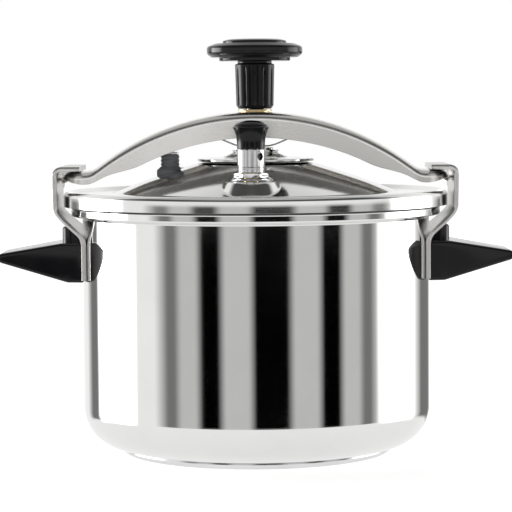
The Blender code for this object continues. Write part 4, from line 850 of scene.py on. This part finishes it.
def knob():
    low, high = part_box("clamp_knob")
    stem, disc, z0 = 0.0127, high.x, low.z
    disc_z = z0 + 0.0304
    disc_top = high.z
    bore, neck, step = 0.0063, stem - 0.0018, disc - 0.008
    neck_low = disc_z - 0.0022
    cap_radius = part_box("knob_cap")[1].x + GAP
    seat = disc_top - 0.0012
    screw_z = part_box("knob_fixing_screw")[0].z + 0.010
    pocket_low = screw_z + 0.003
    outline = rounded([
        (bore, z0), (stem - 0.0022, z0, 0.0005), (stem - 0.0007, z0 + 0.0022, 0.0016),
        (stem, neck_low, 0.0006), (neck, neck_low + 0.0008, 0.0004), (neck, disc_z, 0.0006),
        (step, disc_z, 0.0006), (step + 0.0003, disc_z + 0.0021, 0.0004), (disc - 0.003, disc_z + 0.0023, 0.001),
        (disc, disc_z + 0.0045, 0.0028), (disc, disc_top - 0.002, 0.0022), (disc - 0.005, disc_top, 0.002),
        (cap_radius, disc_top, 0.0002), (cap_radius, seat), (0.006, seat), (0.006, pocket_low),
        (0.0024, pocket_low), (0.0024, screw_z + GAP), (bore, screw_z + GAP)], 6)
    flutes, depth = 12, 0.0007

    def shape(r, angle, z):
        wave = 0.5 + 0.5 * np.cos(flutes * (angle + math.pi / 2))
        fade = np.clip((z - z0 - 0.0012) / 0.0015, 0, 1) * np.clip((neck_low - 0.0008 - z) / 0.0012, 0, 1)
        outside = (r > stem - 0.003) & (z < neck_low + 0.001)
        return np.where(outside, r - depth * fade * wave ** 8, r), z
    piece(add_object("turning_knob", turned(supported(outline, 0.0002, 0.004, closed=True), 288, closed=True,
                                            shape=shape)), "knob", ["clamp_knob"], BLACK)
    low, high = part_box("knob_cap")
    r = high.x
    cap = rounded([
        (0.0, low.z), (r, low.z), (r, high.z - 0.0010, 0.0009), (r - 0.0035, high.z, 0.002),
        (r - 0.006, high.z, 0.0003), (r - 0.0063, high.z - 0.0003, 0.0002), (r - 0.0066, high.z, 0.0003),
        (0.0, high.z)], 6)
    piece(add_object("knob_top_cap", turned(supported(cap, 0.0001, 0.01), 144)), "knob", ["knob_cap"],
          BLACK)


# ---------------------------------------------------------------- studio
def floor():
    size = 4.0
    obj = add_object("floor", ([(-size, -size, 0), (size, -size, 0), (size, size, 0), (-size, size, 0)],
                               [(0, 1, 2, 3)]), outward=False)
    obj.location.z = -0.0002
    made = Nodes("floor_look", (0.93, 0.93, 0.925), 0.0, 0.7)
    tone = made.noise(made.place, 3.0, 3.0)
    made.set(made.shader, {
        "Base Color": made.mix(tone, (0.93, 0.93, 0.925, 1.0), (0.90, 0.90, 0.895, 1.0)),
        "Emission Color": (1.0, 1.0, 1.0, 1.0), "Emission Strength": 0.6, "Specular IOR Level": 0.0})
    obj.data.materials.append(made.material)
    obj.visible_glossy = False


def ramp(tree, socket, stops):
    """A grey colour ramp over socket through (position, value) stops."""
    node = tree.nodes.new("ShaderNodeValToRGB")
    tree.links.new(socket, node.inputs[0])
    elements = node.color_ramp.elements
    for i, (position, value) in enumerate(stops):
        element = elements[i] if i < 2 else elements.new(position)
        element.position = position
        element.color = (value, value, value, 1.0)
    return node.outputs[0]


# The studio's light by direction, in degrees: turn 0 is straight towards the camera, rise 0 is level.
CARD_BLACK, CARD_GREY, CARD_PALE, CARD_WHITE = 0.0, 0.2, 0.6, 1.0
CARDS_AT_ONE_SIDE = ((0, 10, CARD_BLACK), (15, 30, CARD_PALE), (35, 45, CARD_BLACK), (50, 60, CARD_PALE),
                     (65, 70, CARD_GREY), (80, 120, CARD_WHITE), (130, 150, CARD_GREY), (160, 165, CARD_WHITE))
SET_TURN = 10
CARDS_RISE = (-11, -2)
HOOD_TURN, HOOD_RISE, HOOD_DEPTH = (-90, 90), (25, 50), 0.9
BOX_TURN, BOX_RISE = (95, 120), (-5, 10)
KEY_LIGHT, FILL_LIGHT = 8.0, 3.0
OVERHEAD_LIGHT = 0.5
CARDS_EDGE, HOOD_RISE_EDGE, HOOD_TURN_EDGE, BOX_EDGE = 2, 12, 20, 10
FULL_TURN, HALF_TURN = 360.0, 180.0


def studio():
    """A white studio by direction: mirrored cards round the front, a dark hood above, a softbox at each side."""
    world = bpy.data.worlds.new("studio")
    scene.world = world
    world.use_nodes = True
    tree = world.node_tree
    tree.nodes.clear()

    def math_node(operation, a, b=0.0):
        node = tree.nodes.new("ShaderNodeMath")
        node.operation = operation
        for i, value in enumerate((a, b)):
            if isinstance(value, bpy.types.NodeSocket):
                tree.links.new(value, node.inputs[i])
            else:
                node.inputs[i].default_value = value
        return node.outputs[0]

    def by_angle(factor, whole, pairs):
        return ramp(tree, factor, [(0.5 + degrees / whole, value) for degrees, value in pairs])

    def band(factor, whole, span, edge, value):
        """A value over a span of angles, with a soft edge at both ends and nothing outside."""
        low, high = span
        return by_angle(factor, whole, [(low - edge, 0.0), (low, value), (high, value), (high + edge, 0.0)])

    parts = tree.nodes.new("ShaderNodeSeparateXYZ")
    tree.links.new(tree.nodes.new("ShaderNodeTexCoord").outputs["Generated"], parts.inputs[0])
    turn = math_node("ARCTAN2", parts.outputs[0], math_node("MULTIPLY", parts.outputs[1], -1.0))
    turn = math_node("MULTIPLY_ADD", turn, 1 / (2 * math.pi))
    turn.node.inputs[2].default_value = 0.5
    rise = math_node("ARCSINE", parts.outputs[2])
    rise = math_node("MULTIPLY_ADD", rise, 1 / math.pi)
    rise.node.inputs[2].default_value = 0.5

    right = [(SET_TURN + angle, level) for near, far, level in CARDS_AT_ONE_SIDE for angle in (near, far)]
    left = [(2 * SET_TURN - angle, level) for angle, level in reversed(right[1:])]
    cards = by_angle(turn, FULL_TURN, left + right[1:])
    cards_show = band(rise, HALF_TURN, CARDS_RISE, CARDS_EDGE, 1.0)
    hood = math_node("MULTIPLY", band(rise, HALF_TURN, HOOD_RISE, HOOD_RISE_EDGE, 1.0),
                     band(turn, FULL_TURN, HOOD_TURN, HOOD_TURN_EDGE, HOOD_DEPTH))
    key = band(turn, FULL_TURN, (-BOX_TURN[1], -BOX_TURN[0]), BOX_EDGE, 1.0)
    fill = band(turn, FULL_TURN, BOX_TURN, BOX_EDGE, 1.0)
    boxes = math_node("ADD", math_node("MULTIPLY", key, KEY_LIGHT), math_node("MULTIPLY", fill, FILL_LIGHT))
    room = by_angle(rise, HALF_TURN, [(-90, 0.9), (30, 1.0), (60, OVERHEAD_LIGHT), (90, OVERHEAD_LIGHT)])

    carded = math_node("ADD", math_node("MULTIPLY", cards, cards_show), math_node("SUBTRACT", 1.0, cards_show))
    light = math_node("MULTIPLY", math_node("MULTIPLY", carded, room), math_node("SUBTRACT", 1.0, hood))
    boxes = math_node("MULTIPLY", boxes, band(rise, HALF_TURN, BOX_RISE, BOX_EDGE, 1.0))
    light = math_node("ADD", light, boxes)
    background = tree.nodes.new("ShaderNodeBackground")
    tree.links.new(light, background.inputs["Strength"])
    plain = tree.nodes.new("ShaderNodeBackground")
    plain.inputs["Strength"].default_value = 1.0
    for node in (background, plain):
        node.inputs["Color"].default_value = (1.0, 1.0, 1.0, 1.0)
    path = tree.nodes.new("ShaderNodeLightPath")
    shown = tree.nodes.new("ShaderNodeMixShader")
    tree.links.new(path.outputs["Is Camera Ray"], shown.inputs[0])
    tree.links.new(background.outputs[0], shown.inputs[1])
    tree.links.new(plain.outputs[0], shown.inputs[2])
    tree.links.new(shown.outputs[0], tree.nodes.new("ShaderNodeOutputWorld").inputs["Surface"])
    scene.view_settings.view_transform = "Standard"


CAMERA_PLACE = (0.0, -1.470, 0.2234)
CAMERA_PITCH, CAMERA_ROLL = math.radians(3.83), math.radians(-0.4)
CAMERA_LENS, CAMERA_SENSOR = 161.09, 36.0


def camera():
    data = bpy.data.cameras.new("camera")
    data.lens, data.sensor_width = CAMERA_LENS, CAMERA_SENSOR
    obj = bpy.data.objects.new("camera", data)
    scene.collection.objects.link(obj)
    obj.matrix_world = (Matrix.Translation(CAMERA_PLACE)
                        @ Matrix.Rotation(math.pi / 2 - CAMERA_PITCH, 4, "X")
                        @ Matrix.Rotation(CAMERA_ROLL, 4, "Z"))
    scene.camera = obj


CARRIED_OVER = {
    "heat_spreader": ALUMINIUM, "left_handle_bracket": LUG_STEEL, "right_handle_bracket": LUG_STEEL,
    "steam_nozzle": BRASS, "safety_valve_tube": FITTING_STEEL, "regulator_needle": FITTING_STEEL,
    "regulator_spring": FITTING_STEEL, "spindle_retaining_ring": FITTING_STEEL, "knob_fixing_screw": FITTING_STEEL,
}

pot_body()
base()
for side, word in ((-1, "left"), (1, "right")):
    lug(side, word)
    handle(side, word)
    slotted_screw(word + "_grip_screw", word + "_handle_screw", "pot")
lid()
gasket()
plate()
washer()
hexagon_nut("nozzle_hex_nut", "nozzle_nut", "lid", FITTING_STEEL,
            NOZZLE_HOLE_RADIUS)
hexagon_nut("safety_hex_nut", "safety_valve_nut", "lid", FITTING_STEEL,
            SAFETY_TUBE_HOLE_RADIUS)
regulator()
safety_valve()
stirrup()
bush()
hexagon_nut("bush_hex_nut", "bush_lock_nut", "stirrup", FITTING_STEEL, BUSH_HOLE_RADIUS)
foot()
clip()
spindle()
knob()
for node, look in CARRIED_OVER.items():
    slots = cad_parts[node].data.materials
    slots.clear()
    slots.append(look)
floor()
studio()
camera()
